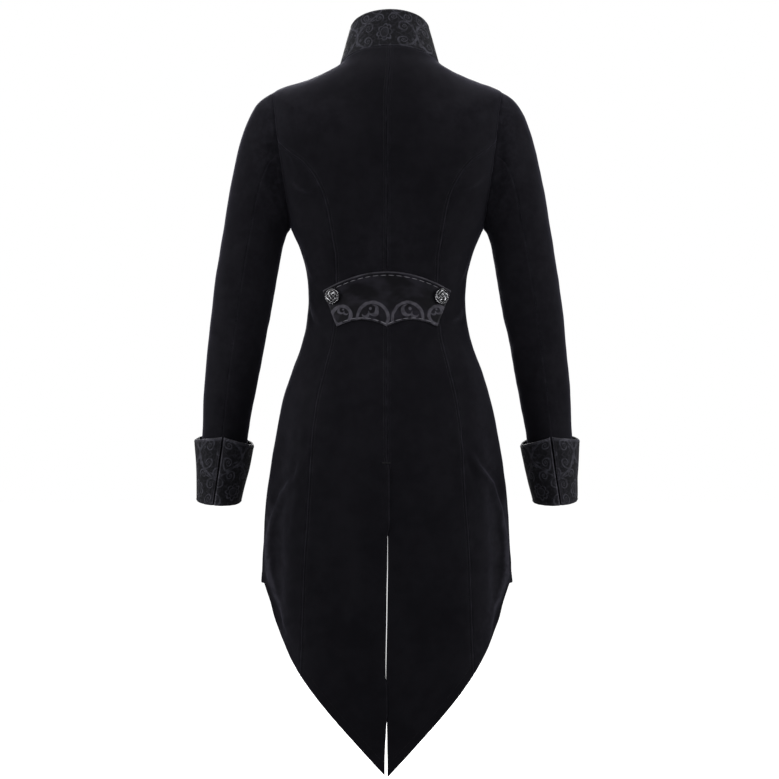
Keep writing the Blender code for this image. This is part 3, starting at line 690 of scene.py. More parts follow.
@dataclass
class Cut:
    """One cut piece of cloth, laid out as a grid of places on its form."""

    form: Form
    u: Array
    v: Array
    seed: int = 1
    lap: bool = False
    base: Array = field(init=False)
    out: Array = field(init=False)
    rise: Array = field(init=False)
    # How much light is painted into the colour at each place
    worn: Array = field(init=False)
    wave: SoftNoise = field(init=False)
    found: dict = field(default_factory=dict)
    marks: dict = field(default_factory=dict)

    def __post_init__(self) -> None:
        """Finds the points and directions of the bare form."""
        self.base = self.form.point(self.u, self.v)
        self.out = self.form.normal(self.u, self.v)
        self.rise = np.zeros(self.u.shape)
        self.worn = np.zeros(self.u.shape)
        self.wave = SoftNoise(self.seed, PUCKER_WAVE)
        if self.lap:
            risen = smooth_step((LAP_RISE_FROM - self.base[..., 0]) / (LAP_RISE_FROM - LAP_RISE_TO))
            self.base = self.base + self.out * (LAP_HEIGHT * risen)[..., None]

    def rim(self, rim: Rim, rows: slice = slice(None)) -> Array:
        """Points of an edge, or of a stretch of it."""
        line = {
            Rim.START: self.base[:, 0], Rim.END: self.base[:, -1],
            Rim.TOP: self.base[0], Rim.FOOT: self.base[-1],
        }[rim]
        return line[rows]

    def distance_to(self, rim: Rim, rows: slice = slice(None)) -> tuple[Array, Array, Array]:
        """Distance of every place to an edge, the edge's point nearest to it, and the
        distance run along the edge there."""
        key = (rim, rows.start, rows.stop)
        if key not in self.found:
            path = resample(self.rim(rim, rows), PATH_STEP)
            distance, index = nearest(self.base, path)
            self.found[key] = distance, path[index], index * PATH_STEP
        return self.found[key]

    def finish_edge(self, rim: Rim, work: EdgeWork, rows: slice = slice(None)) -> None:
        """Adds an edge's relief, and the highlight painted along it."""
        distance, along, run = self.distance_to(rim, rows)
        self.rise += work.height(distance, along, self.wave)
        self.worn += work.shine(distance, along, run, self.wave)

    def crease(self, crease: Crease) -> None:
        """Adds a crease, faded at both ends."""
        places = np.array(crease.path, float)
        turns = np.linspace(0, len(places) - 1, len(places) * 12)
        knots = np.arange(len(places))
        u, v = (np.interp(turns, knots, places[:, axis]) for axis in (0, 1))
        path = self.form.point(u, v)
        reach = 45 + crease.width
        low, high = path.min(axis=0) - reach, path.max(axis=0) + reach
        near = np.all((self.base > low) & (self.base < high), axis=-1)
        if not near.any():
            return
        points = self.base[near]
        distance, index = nearest(points, path)
        along = index / (len(path) - 1)
        fade = np.sin(np.pi * np.clip(along * 0.94 + 0.03, 0, 1)) ** 0.8
        ridge = bell(distance, crease.width)
        if crease.trough:
            ahead = path[np.minimum(index + 1, len(path) - 1)] - path[np.maximum(index - 1, 0)]
            side = np.cross(unit(ahead), self.out[near])
            signed = ((points - path[index]) * side).sum(axis=-1) * np.sign(crease.trough)
            beside = bell(signed - crease.width * 1.6, crease.width * 0.9)
            beside *= bell(distance - np.abs(signed), crease.width)
            ridge = ridge - abs(crease.trough) * beside
        self.rise[near] += crease.height * fade * ridge
        # The crease's light paints a highlight along its ridge
        self.worn[near] += crease.light * fade * bell(distance, 0.45 * crease.width)

    def waver(self, height: float, wave: float, seed: int) -> None:
        """Adds slow, slight unevenness."""
        self.rise += height * SoftNoise(seed, wave).at(self.base)

    def face(self, lift: float = 0.0) -> Array:
        """Points of the cloth's outer face."""
        return self.base + self.out * (self.rise + lift)[..., None]

    def line_at(self, rim: Rim, distance: float, rows: slice = slice(None), lift: float = 0.0) -> Array:
        """Points of the finished face in a line that keeps a distance from an edge."""
        far = self.distance_to(rim, rows)[0]
        face = self.face(lift)
        if rim in (Rim.FOOT, Rim.TOP):
            far, face = far.T, face.transpose(1, 0, 2)
        if rim in (Rim.END, Rim.FOOT):
            far, face = far[:, ::-1], face[:, ::-1]
        spots = []
        kept = rows if rim in (Rim.START, Rim.END) else slice(None)
        for values, spot in zip(far[kept], face[kept]):
            if values.min() > distance or values.max() < distance:
                continue
            first = int(np.argmax(values > distance))
            if first == 0:
                continue
            span = values[first] - values[first - 1]
            share = (distance - values[first - 1]) / (span if span else 1.0)
            spots.append(spot[first - 1] + (spot[first] - spot[first - 1]) * share)
        return np.array(spots)


def column_places(width: float, count: int, margins: Array) -> Array:
    """Places of the columns along a row: close together near its ends."""
    reach = margins[-1]
    edge = margins * min(1.0, width / (2.4 * reach))
    inner = np.linspace(edge[-1], width - edge[-1], count + 2)[1:-1]
    return np.concatenate([edge, inner, (width - edge)[::-1]])


SEAM_MARGINS = np.array([0.0, 0.5, 1.1, 1.9, 2.9, 4.1, 4.9, 5.5, 6.1, 7.0, 8.6])
NARROW_MARGINS = np.array([0.0, 0.4, 0.9, 1.6, 2.6, 4.0, 6.0])


def lay_rows(
    form: Form, rows: Array, level_of: LevelOf, start: EdgeOf, end: EdgeOf, count: int,
    margins: Array = SEAM_MARGINS,
) -> tuple[Array, Array]:
    """Lays the rows of a cut piece between two edges.

    Args:
        form: The surface.
        rows: Names of the rows, each its level at the side.
        level_of: Level of rows at turns.
        start: Turn of the first edge at levels.
        end: Turn of the last edge at levels.
        count: Columns between the margins.
        margins: Distances of the first columns from an edge.

    Returns:
        The turns and the levels of the grid.
    """
    edges = []
    for edge in (start, end):
        turn = edge(rows)
        for _ in range(6):
            turn = edge(level_of(rows, turn))
        edges.append(turn)
    samples = np.linspace(*edges, 49, axis=1)
    points = form.point(samples, level_of(rows[:, None], samples))
    turns = np.array([
        np.interp(column_places(run[-1], count, margins), run, sample)
        for run, sample in zip(runs(points), samples)
    ])
    return turns, level_of(rows[:, None], turns) + np.zeros_like(turns)


def shell(
    name: str, cut: Cut, side: Side, thick: float, finishes: list, lift: float = 0.0
) -> Piece:
    """A closed shell of cloth over a cut piece.

    Args:
        name: Name of the piece.
        cut: The cut piece, with its relief.
        side: Side that it is for; the cut is the left one.
        thick: Thickness of the cloth in mm.
        finishes: Materials of the face and of the inside.
        lift: How far the face is lifted off the form.

    Returns:
        The object.
    """
    rows, columns = cut.u.shape
    maker = bmesh.new()
    bmesh.ops.create_grid(maker, x_segments=columns - 1, y_segments=rows - 1, size=1)
    place = maker.verts.layers.int.new("place")
    under = in_grid_order(maker.verts)
    raised = bmesh.ops.extrude_face_region(maker, geom=maker.faces[:])
    over = in_grid_order(item for item in raised["geom"] if isinstance(item, bmesh.types.BMVert))
    for index, (low, high) in enumerate(zip(under, over)):
        low[place], high[place] = index, index + rows * columns
    mesh = bpy.data.meshes.new(name)
    bmesh.ops.recalc_face_normals(maker, faces=maker.faces)
    maker.to_mesh(mesh)
    maker.free()

    mirror = np.array([side.value, 1.0, 1.0])
    walls = [cut.face(lift - thick).reshape(-1, 3), cut.face(lift).reshape(-1, 3)]
    spots = leaned(np.concatenate(walls) * mirror) * MM
    order = np.zeros(len(mesh.vertices), dtype=np.int32)
    mesh.attributes["place"].data.foreach_get("value", order)
    mesh.vertices.foreach_set("co", spots[order].ravel())
    mesh.attributes.remove(mesh.attributes["place"])
    # The painted light goes on the outer face only
    worn = np.concatenate([np.zeros(rows * columns), cut.worn.ravel()])
    pressed = mesh.attributes.new("worn", "FLOAT", "POINT")
    pressed.data.foreach_set("value", worn[order].astype(np.float32))

    corners = np.zeros(len(mesh.loops), dtype=np.int32)
    mesh.loops.foreach_get("vertex_index", corners)
    across = np.median(runs(cut.base), axis=0)
    down = np.median(runs(cut.base.transpose(1, 0, 2)), axis=0)
    flat = np.stack(np.broadcast_arrays(across[None, :], -down[:, None]), axis=-1).reshape(-1, 2) * MM
    flat = np.concatenate([flat, flat])
    layer = mesh.uv_layers.new(name="cloth")
    layer.data.foreach_set("uv", flat[order[corners]].ravel())
    inside = (order[corners].reshape(-1, 4) < rows * columns).all(axis=1)
    mesh.polygons.foreach_set("material_index", inside.astype(np.int32))
    for finish in finishes:
        mesh.materials.append(finish)
    mesh.update()
    middle = int(np.flatnonzero(~inside)[len(mesh.polygons) // 4])
    face = mesh.polygons[middle]
    wanted = cut.out.reshape(-1, 3)[order[face.vertices[0]] % (rows * columns)] * mirror
    if np.dot(np.array(face.normal), wanted) < 0:
        mesh.flip_normals()
    return placed(name, mesh)


def in_grid_order(verts: object) -> list:
    """Vertices of a flat grid, row by row."""
    return sorted(verts, key=lambda vert: (round(vert.co.y, 5), round(vert.co.x, 5)))


def placed(name: str, mesh: bpy.types.Mesh, sharp: float = 55.0) -> Piece:
    """An object of a mesh, shaded smooth except at sharp edges."""
    mesh.shade_smooth()
    mesh.set_sharp_from_angle(angle=math.radians(sharp))
    made = bpy.data.objects.new(name, mesh)
    bpy.context.collection.objects.link(made)
    return made


class Graph:
    """A material's nodes, made and joined in one call each."""

    def __init__(self, name: str) -> None:
        """Args:
        name: Name of the material.
        """
        self.material = bpy.data.materials.new(name)
        self.material.use_nodes = True
        self.tree = self.material.node_tree
        self.shader = self.tree.nodes["Principled BSDF"]
        self.places = self.tree.nodes.new("ShaderNodeTexCoord")

    @property
    def object_place(self) -> Socket:
        """The object's own coordinates, in metres."""
        return self.places.outputs["Object"]

    @property
    def cloth_place(self) -> Socket:
        """The cloth's own flat coordinates, in metres."""
        return self.places.outputs["UV"]

    @property
    def worn(self) -> Socket:
        """The cloth's own attribute that says where light is painted into its colour: highlights along its
        edges and creases, and lighter patches.
        """
        node = self.tree.nodes.new("ShaderNodeAttribute")
        node.attribute_name = "worn"
        return node.outputs["Fac"]

    def grazing(self, blend: float) -> Socket:
        """0 where the surface faces the eye and 1 at its outline, for a sheen."""
        node = self.tree.nodes.new("ShaderNodeLayerWeight")
        node.inputs["Blend"].default_value = blend
        return node.outputs["Facing"]

    def put(self, socket: Socket, value: object) -> None:
        """Joins a socket to another one, or sets its value."""
        if isinstance(value, Socket):
            self.tree.links.new(value, socket)
        elif value is not None:
            socket.default_value = value

    def math(self, operation: str, first: object, second: object = None, third: object = None) -> Socket:
        """The result of one Math node."""
        node = self.tree.nodes.new("ShaderNodeMath")
        node.operation = operation
        for socket, value in zip(node.inputs, (first, second, third)):
            self.put(socket, value)
        return node.outputs[0]

    # The Math node's operations by name; scaled is a value times the second plus the third
    plus, minus = partialmethod(math, "ADD"), partialmethod(math, "SUBTRACT")
    times, over = partialmethod(math, "MULTIPLY"), partialmethod(math, "DIVIDE")
    scaled, absolute = partialmethod(math, "MULTIPLY_ADD"), partialmethod(math, "ABSOLUTE")
    higher, lower = partialmethod(math, "MAXIMUM"), partialmethod(math, "MINIMUM")
    sine, cosine = partialmethod(math, "SINE"), partialmethod(math, "COSINE")

    def vector(self, operation: str, first: object, second: object = None) -> Socket:
        """The result of one Vector Math node."""
        node = self.tree.nodes.new("ShaderNodeVectorMath")
        node.operation = operation
        for socket, value in zip(node.inputs, (first, second)):
            self.put(socket, value)
        return node.outputs["Value"] if operation == "LENGTH" else node.outputs[0]

    def noise(self, place: object, scale: float, detail: float = 2.0, rough: float = 0.5) -> Socket:
        """A noise between 0 and 1."""
        node = self.tree.nodes.new("ShaderNodeTexNoise")
        values = {"Vector": place, "Scale": scale, "Detail": detail, "Roughness": rough}
        for name, value in values.items():
            self.put(node.inputs[name], value)
        return node.outputs["Fac"]

    def ramp(
        self, value: object, low: float, high: float, start: float = 0.0, end: float = 1.0
    ) -> Socket:
        """A smooth step from start to end as a value goes from low to high."""
        node = self.tree.nodes.new("ShaderNodeMapRange")
        node.interpolation_type = "SMOOTHSTEP"
        for index, item in enumerate((value, low, high, start, end)):
            self.put(node.inputs[index], item)
        return node.outputs[0]

    def mix(self, share: object, first: object, second: object) -> Socket:
        """A colour between two colours."""
        node = self.tree.nodes.new("ShaderNodeMix")
        node.data_type = "RGBA"
        self.put(node.inputs[0], share)
        self.put(node.inputs[6], first)
        self.put(node.inputs[7], second)
        return node.outputs[2]

    def bump(self, height: object, strength: float, distance: float) -> Socket:
        """A bumped normal."""
        node = self.tree.nodes.new("ShaderNodeBump")
        self.put(node.inputs["Height"], height)
        node.inputs["Strength"].default_value = strength
        node.inputs["Distance"].default_value = distance
        return node.outputs[0]

    def split(self, place: object) -> tuple[Socket, Socket]:
        """The first two coordinates of a place."""
        node = self.tree.nodes.new("ShaderNodeSeparateXYZ")
        self.put(node.inputs[0], place)
        return node.outputs[0], node.outputs[1]

    def join(self, x: object, y: object, z: object = 0.0) -> Socket:
        """A place from its coordinates."""
        node = self.tree.nodes.new("ShaderNodeCombineXYZ")
        for socket, value in zip(node.inputs, (x, y, z)):
            self.put(socket, value)
        return node.outputs[0]

    def set(self, **values: object) -> bpy.types.Material:
        """Sets the shader's sockets by their names, with _ for a space."""
        for name, value in values.items():
            self.put(self.shader.inputs[name.replace("_", " ")], value)
        return self.material


@dataclass(frozen=True)
class VelvetFinish:
    """Black velvet with a violet cast and a slightly uneven nap. Highlights are painted into
    its colour along the seams and creases, and a painted sheen lightens it where it is seen edge on."""

    name: str = "velvet"
    deep: tuple = (0.0040, 0.0038, 0.0054, 1)
    bright: tuple = (0.0058, 0.0055, 0.0078, 1)
    # The two colours below are painted light: the highlights where the attribute says, and a sheen at the
    # outline
    pressed: tuple = (0.0260, 0.0250, 0.0330, 1)
    brushed: tuple = (0.0240, 0.0225, 0.0310, 1)
    sheen: float = 0.085
    sheen_tint: tuple = (0.74, 0.72, 1.0, 1)

    def make(self) -> bpy.types.Material:
        """Makes the material."""
        g = Graph(self.name)
        place = g.object_place
        brushed = g.noise(place, 11.0, 3.0, 0.55)
        patch = g.noise(place, 55.0, 3.0, 0.6)
        pile = g.noise(place, 900.0, 2.0, 0.6)
        tone = g.plus(g.times(brushed, 0.62), g.times(patch, 0.38))
        tone = g.plus(g.ramp(tone, 0.30, 0.70), g.scaled(pile, 0.5, -0.25))
        tone = g.lower(g.higher(tone, 0.0), 1.0)
        height = g.plus(g.times(pile, 0.55), g.times(g.noise(place, 2600.0, 1.0), 0.45))
        colour = g.mix(tone, self.deep, self.bright)
        # Painted highlights: the painted-light attribute, broken up by noise, lightens the colour
        streak = g.ramp(g.noise(place, 130.0, 2.0), 0.35, 0.65, 0.55, 1.10)
        pressed = g.times(g.worn, g.times(streak, g.ramp(patch, 0.25, 0.65, 0.6, 1.2)))
        colour = g.mix(g.lower(pressed, 1.0), colour, self.pressed)
        # Painted sheen: the colour grows lighter towards the outline
        colour = g.mix(g.ramp(g.grazing(0.5), 0.55, 1.0, 0.0, 0.7), colour, self.brushed)
        return g.set(
            Base_Color=colour,
            Roughness=g.ramp(tone, 0.0, 1.0, 0.96, 0.84),
            Normal=g.bump(height, 0.35, 0.0006),
            Sheen_Weight=self.sheen, Sheen_Roughness=0.40, Sheen_Tint=self.sheen_tint,
            Specular_IOR_Level=0.08,
        )


@dataclass(frozen=True)
class ClothBackFinish:
    """The plain woven back of the cloth, seen inside the coat."""

    name: str = "cloth_back"
    colour: tuple = (0.0075, 0.0073, 0.0092, 1)

    def make(self) -> bpy.types.Material:
        """Makes the material."""
        g = Graph(self.name)
        x, y = g.split(g.cloth_place)
        warp = g.sine(g.times(x, 9000.0))
        weft = g.sine(g.times(y, 9000.0))
        weave = g.times(warp, weft)
        tone = g.ramp(weave, -1.0, 1.0)
        lighter = tuple(channel * 1.7 for channel in self.colour[:3]) + (1,)
        return g.set(
            Base_Color=g.mix(tone, self.colour, lighter), Roughness=0.85,
            Normal=g.bump(weave, 0.2, 0.0003), Specular_IOR_Level=0.25,
        )


@dataclass(frozen=True)
class DamaskFinish:
    """A damask in charcoal and a lighter violet-grey: large pointed ovals of curving
    bands, each with a rosette in its middle, volutes round it and fronds along the bands."""

    name: str = "damask"
    ground: tuple = (0.0048, 0.0048, 0.0068, 1)
    figure: tuple = (0.0440, 0.0435, 0.0570, 1)
    pressed: tuple = (0.0900, 0.0880, 0.1100, 1)
    wide: float = 0.098
    tall: float = 0.112
    shift: tuple = (0.017, 0.022)

    def make(self) -> bpy.types.Material:
        """Makes the material."""
        g = Graph(self.name)
        figure = self.figures(g)
        x, y = g.split(g.cloth_place)
        rib = g.sine(g.times(y, 7800.0))
        twill = g.sine(g.times(g.plus(x, y), 5200.0))
        grain = g.noise(g.cloth_place, 600.0, 2.0)
        patch = g.noise(g.cloth_place, 130.0, 3.0)
        tone = g.times(figure, g.scaled(twill, 0.10, 0.9))
        tone = g.times(tone, g.ramp(grain, 0.2, 0.7, 0.65, 1.1))
        tone = g.times(tone, g.ramp(patch, 0.32, 0.66, 0.30, 1.15))
        tone = g.higher(tone, g.ramp(g.noise(g.cloth_place, 210.0, 3.0), 0.45, 0.75, 0.0, 0.34))
        height = g.plus(figure, g.times(rib, 0.10))
        colour = g.mix(tone, self.ground, self.figure)
        return g.set(
            # Painted highlights along the rims and seams lighten the colour where the attribute says
            Base_Color=g.mix(g.lower(g.worn, 1.0), colour, self.pressed),
            Roughness=g.ramp(figure, 0.0, 1.0, 0.78, 0.55),
            Normal=g.bump(height, 0.5, 0.0005),
            Sheen_Weight=0.05, Sheen_Roughness=0.5, Specular_IOR_Level=0.13,
        )

    def scroll(
        self, g: Graph, x: object, y: object, at: tuple, size: float, turn: float, hand: float,
        bold: float = 0.17,
    ) -> object:
        """A band that coils in to a volute and grows narrower on the way.

        Args:
            g: The material's nodes.
            x: First coordinate in an oval.
            y: Second coordinate in an oval.
            at: Middle of the coil.
            size: Outer radius of the coil.
            turn: Where the band starts, in turns.
            hand: 1 or -1, the way it coils.
            bold: Width of the band as a share of the coil's growth.

        Returns:
            1 on the band and 0 off it.
        """
        x, y = g.minus(x, at[0]), g.minus(y, at[1])
        radius = g.higher(g.vector("LENGTH", g.join(x, y)), 0.0002)
        angle = g.over(g.math("ARCTAN2", y, x), 2 * math.pi)
        coil = g.over(g.math("LOGARITHM", g.over(radius, size), math.e), 1.05)
        phase = g.plus(g.scaled(angle, hand, coil), turn)
        wave = g.absolute(g.minus(g.math("FRACT", phase), 0.5))
        half = g.ramp(radius, size * 0.80, size * 1.12, bold, 0.0)
        return g.ramp(g.minus(wave, half), -0.03, 0.03, 1.0, 0.0)

    def rosette(self, g: Graph, x: object, y: object) -> object:
        """A plain middle in a ring, with eight open loops round it."""
        radius = g.vector("LENGTH", g.join(x, y))
        angle = g.math("ARCTAN2", y, x)
        lobe = g.math("POWER", g.absolute(g.cosine(g.times(angle, 4.0))), 0.6)
        loop = g.absolute(g.minus(radius, g.scaled(lobe, 0.0046, 0.0090)))
        loop = g.ramp(loop, 0.0008, 0.0017, 1.0, 0.0)
        ring = g.ramp(g.absolute(g.minus(radius, 0.0074)), 0.0006, 0.0013, 0.85, 0.0)
        middle = g.ramp(radius, 0.0055, 0.0066, 0.24, 0.0)
        return g.higher(g.higher(loop, ring), middle)

    def figures(self, g: Graph) -> object:
        """The woven figures, 1 on them and 0 on the ground."""
        bend = g.scaled(g.noise(g.cloth_place, 22.0, 1.0), 0.016, -0.008)
        moved = g.vector("ADD", g.cloth_place, (3.1, 1.7, 0.0))
        sway = g.scaled(g.noise(moved, 30.0, 2.0), 0.014, -0.007)
        u, v = g.split(g.cloth_place)
        u = g.plus(g.plus(u, bend), self.shift[0])
        v = g.plus(g.plus(v, sway), self.shift[1])
        half = self.wide / 2
        across = g.math("PINGPONG", u, half)
        up = g.times(g.math("FRACT", g.over(v, self.tall)), self.tall)
        wave = g.cosine(g.times(up, 2 * math.pi / self.tall))
        line = g.scaled(wave, -half / 2, half / 2)
        from_line = g.minus(across, line)
        band = g.ramp(g.absolute(from_line), 0.0016, 0.0028, 1.0, 0.0)
        teeth = g.sine(g.scaled(from_line, 420.0, g.times(up, 640.0)))
        near = g.ramp(g.absolute(g.minus(g.absolute(from_line), 0.0060)), 0.0016, 0.0034, 1.0, 0.0)
        some = g.ramp(g.noise(g.cloth_place, 38.0, 1.0), 0.46, 0.56)
        fronds = g.times(g.times(g.ramp(teeth, 0.1, 0.5), near), g.times(some, 0.8))
        beyond = g.math("GREATER_THAN", from_line, 0.0)
        wrapped = g.times(g.math("GREATER_THAN", up, self.tall / 2), self.tall)
        own_x = g.minus(across, g.times(beyond, g.minus(g.times(across, 2.0), half)))
        low = g.minus(up, self.tall / 2)
        drop = g.minus(g.minus(up, wrapped), low)
        own_y = g.absolute(g.scaled(beyond, drop, low))
        parts = [
            fronds,
            self.rosette(g, own_x, own_y),
            self.scroll(g, own_x, own_y, (0.0285, 0.0120), 0.0105, 0.35, 1.0),
            self.scroll(g, own_x, own_y, (0.0130, 0.0270), 0.0090, 0.10, -1.0, 0.20),
            self.scroll(g, own_x, own_y, (0.0060, 0.0420), 0.0050, 0.60, 1.0, 0.22),
        ]
        joined = band
        for part in parts:
            joined = g.higher(joined, part)
        return joined


class Arc(NamedTuple):
    """A woven arc of the half-belt: its middle and radius in metres, and the side that
    the leaf inside it leans to."""

    x: float
    z: float
    radius: float
    lean: float


BELT_ARCS = [
    Arc(0.0225, -0.4005, 0.0265, 1.0),
    Arc(-0.0325, -0.4005, 0.0265, -1.0),
    Arc(0.0715, -0.3965, 0.0172, -1.0),
    Arc(-0.0805, -0.3965, 0.0168, 1.0),
]


@dataclass(frozen=True)
class SatinFinish:
    """Black satin with a painted soft violet sheen in patches, painted highlights along its
    edges, and woven arcs in a lighter grey along the half-belt's foot."""

    name: str = "belt_satin"
    dark: tuple = (0.0034, 0.0032, 0.0048, 1)
    sheen: tuple = (0.0125, 0.0117, 0.0165, 1)
    light: tuple = (0.072, 0.069, 0.084, 1)
    band: float = 0.0025

    def make(self) -> bpy.types.Material:
        """Makes the material."""
        g = Graph(self.name)
        x, y = g.split(g.cloth_place)
        rib = g.sine(g.times(g.plus(x, g.times(y, 0.4)), 6200.0))
        slub = g.noise(g.vector("MULTIPLY", g.cloth_place, (60.0, 900.0, 1.0)), 1.0, 2.0)
        patch = g.noise(g.cloth_place, 110.0, 2.0)
        cloud = g.noise(g.vector("MULTIPLY", g.cloth_place, (26.0, 44.0, 1.0)), 1.0, 2.0)
        figure = self.arcs(g)
        weave = g.scaled(rib, 0.06, g.scaled(slub, 0.3, 0.7))
        weave = g.times(weave, g.ramp(patch, 0.3, 0.7, 0.55, 1.15))
        # Painted sheen: soft lighter patches of the satin, placed by noise
        plain = g.mix(g.ramp(cloud, 0.42, 0.70), self.dark, self.sheen)
        # Painted highlights along the edges take the arcs' lighter colour
        shown = g.higher(g.times(figure, weave), g.lower(g.worn, 1.0))
        return g.set(
            Base_Color=g.mix(shown, plain, self.light),
            Roughness=g.ramp(figure, 0.0, 1.0, 0.5, 0.62),
            Normal=g.bump(g.scaled(figure, 0.6, g.times(rib, 0.12)), 0.4, 0.0004),
            Sheen_Weight=0.04, Sheen_Roughness=0.35, Specular_IOR_Level=0.08,
        )

    def disc(
        self, g: Graph, x: object, z: object, at: tuple, radius: float, soft: float = 0.0006
    ) -> object:
        """1 inside a circle and 0 outside it."""
        far = g.vector("LENGTH", g.join(g.minus(x, at[0]), g.minus(z, at[1])))
        return g.ramp(far, radius - soft, radius + soft, 1.0, 0.0)

    def arcs(self, g: Graph) -> object:
        """The arcs, each round a crescent leaf, a small leaf and a berry."""
        split = g.tree.nodes.new("ShaderNodeSeparateXYZ")
        g.put(split.inputs[0], g.object_place)
        x, z = split.outputs[0], split.outputs[2]
        wobble = g.scaled(g.noise(g.object_place, 70.0, 1.0), 0.004, -0.002)
        x, z = g.plus(x, wobble), g.plus(z, wobble)
        total = None
        for arc in BELT_ARCS:
            size, lean = arc.radius, arc.lean
            outer = self.disc(g, x, z, (arc.x, arc.z), size)
            inner = self.disc(g, x, z, (arc.x, arc.z), size - 2 * self.band)
            leaf = self.disc(g, x, z, (arc.x - lean * 0.06 * size, arc.z + 0.43 * size), 0.34 * size)
            hollow = self.disc(g, x, z, (arc.x + lean * 0.06 * size, arc.z + 0.50 * size), 0.25 * size)
            frond = self.disc(g, x, z, (arc.x + lean * 0.40 * size, arc.z + 0.22 * size), 0.24 * size)
            notch = self.disc(g, x, z, (arc.x + lean * 0.46 * size, arc.z + 0.34 * size), 0.20 * size)
            berry = self.disc(g, x, z, (arc.x + lean * 0.14 * size, arc.z + 0.55 * size), 0.085 * size)
            parts = [g.minus(outer, inner), g.minus(leaf, hollow),
                     g.minus(frond, notch), berry]
            for part in parts:
                total = part if total is None else g.higher(total, part)
        return total


@dataclass(frozen=True)
class PewterFinish:
    """Cast metal, polished on its relief and dark in its hollows."""

    name: str
    bright: tuple
    dull: tuple
    rough: tuple

    def make(self) -> bpy.types.Material:
        """Makes the material."""
        g = Graph(self.name)
        cast = g.noise(g.object_place, 900.0, 3.0, 0.6)
        return g.set(
            Base_Color=g.mix(g.ramp(cast, 0.3, 0.7), self.dull, self.bright),
            Metallic=1.0, Roughness=g.ramp(cast, 0.2, 0.8, *self.rough),
            Normal=g.bump(cast, 0.15, 0.0003),
        )


@dataclass(frozen=True)
class ThreadFinish:
    """Twisted sewing thread."""

    name: str
    colour: tuple
    shine: float

    def make(self) -> bpy.types.Material:
        """Makes the material."""
        g = Graph(self.name)
        twist = g.noise(g.object_place, 1800.0, 1.0)
        dark = tuple(channel * 0.6 for channel in self.colour[:3]) + (1,)
        return g.set(
            Base_Color=g.mix(twist, dark, self.colour), Roughness=0.55,
            Sheen_Weight=0.1, Specular_IOR_Level=self.shine,
        )


@dataclass
class Wardrobe:
    """The coat's finishes, made once."""

    velvet: bpy.types.Material = field(default_factory=lambda: VelvetFinish().make())
    back: bpy.types.Material = field(default_factory=lambda: ClothBackFinish().make())
    damask: bpy.types.Material = field(default_factory=lambda: DamaskFinish().make())
    satin: bpy.types.Material = field(default_factory=lambda: SatinFinish().make())
    pewter: bpy.types.Material = field(
        default_factory=lambda: PewterFinish(
            "pewter", (0.50, 0.50, 0.52, 1), (0.17, 0.17, 0.18, 1), (0.13, 0.30)
        ).make()
    )
    tarnish: bpy.types.Material = field(
        default_factory=lambda: PewterFinish(
            "tarnished_pewter", (0.020, 0.020, 0.021, 1), (0.008, 0.008, 0.009, 1), (0.45, 0.65)
        ).make()
    )
    dark_thread: bpy.types.Material = field(
        default_factory=lambda: ThreadFinish("dark_thread", (0.0062, 0.0058, 0.0086, 1), 0.12).make()
    )
    grey_thread: bpy.types.Material = field(
        default_factory=lambda: ThreadFinish("grey_thread", (0.21, 0.205, 0.235, 1), 0.4).make()
    )


@dataclass
class Stitching:
    """A row of stitches: one small capsule of thread for each stitch."""

    pitch: float = 3.3
    length: float = 2.4
    radius: float = 0.28
    batch: int = 40
    paths: list = field(default_factory=list)

    def add(self, path: Array, side: Side) -> None:
        """Adds a line of stitches, given for the left side."""
        if len(path) > 1:
            self.paths.append(leaned(path * np.array([side.value, 1.0, 1.0])))

    def make(self, name: str, thread: bpy.types.Material) -> Piece:
        """Makes the stitches.

        Args:
            name: Name of the piece.
            thread: Material of the thread.

        Returns:
            The object.
        """
        whole = bmesh.new()
        places = [place for path in self.paths for place in self.stitch_places(path)]
        for first in range(0, len(places), self.batch):
            maker = bmesh.new()
            for place in places[first : first + self.batch]:
                bmesh.ops.create_uvsphere(maker, u_segments=5, v_segments=4, radius=1, matrix=place)
            batch = bpy.data.meshes.new("batch")
            maker.to_mesh(batch)
            maker.free()
            whole.from_mesh(batch)
            bpy.data.meshes.remove(batch)
        mesh = bpy.data.meshes.new(name)
        whole.to_mesh(mesh)
        whole.free()
        mesh.materials.append(thread)
        return placed(name, mesh)

    def stitch_places(self, path: Array) -> list[Matrix]:
        """Place, turn and size of every stitch along a line."""
        run = run_along(path)
        found = []
        for number in range(int(run[-1] / self.pitch)):
            places = number * self.pitch + np.array([0.0, self.length])
            ends = np.stack([np.interp(places, run, path[:, axis]) for axis in range(3)], axis=-1)
            start, stop = Vector(ends[0]), Vector(ends[1])
            turned = (stop - start).to_track_quat("Z", "Y").to_matrix().to_4x4()
            size = Matrix.Diagonal((self.radius * MM, self.radius * MM, self.length / 2 * MM, 1))
            found.append(Matrix.Translation((start + stop) / 2 * MM) @ turned @ size)
        return found


def hand_over(piece: Piece, slot: str, *nodes: str) -> None:
    """Rides a finished piece on the coat and says what it stands for.

    Args:
        piece: The finished piece.
        slot: Not used.
        nodes: CAD nodes that it stands for.
    """
    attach(piece, "root")
    if nodes:
        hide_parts(*nodes)
    area = sum(face.area for face in piece.data.polygons) / 2
    log.info("%s: %d faces, %.4f square metres, on %s", piece.name, len(piece.data.polygons), area,
             ", ".join(nodes) or "the coat")


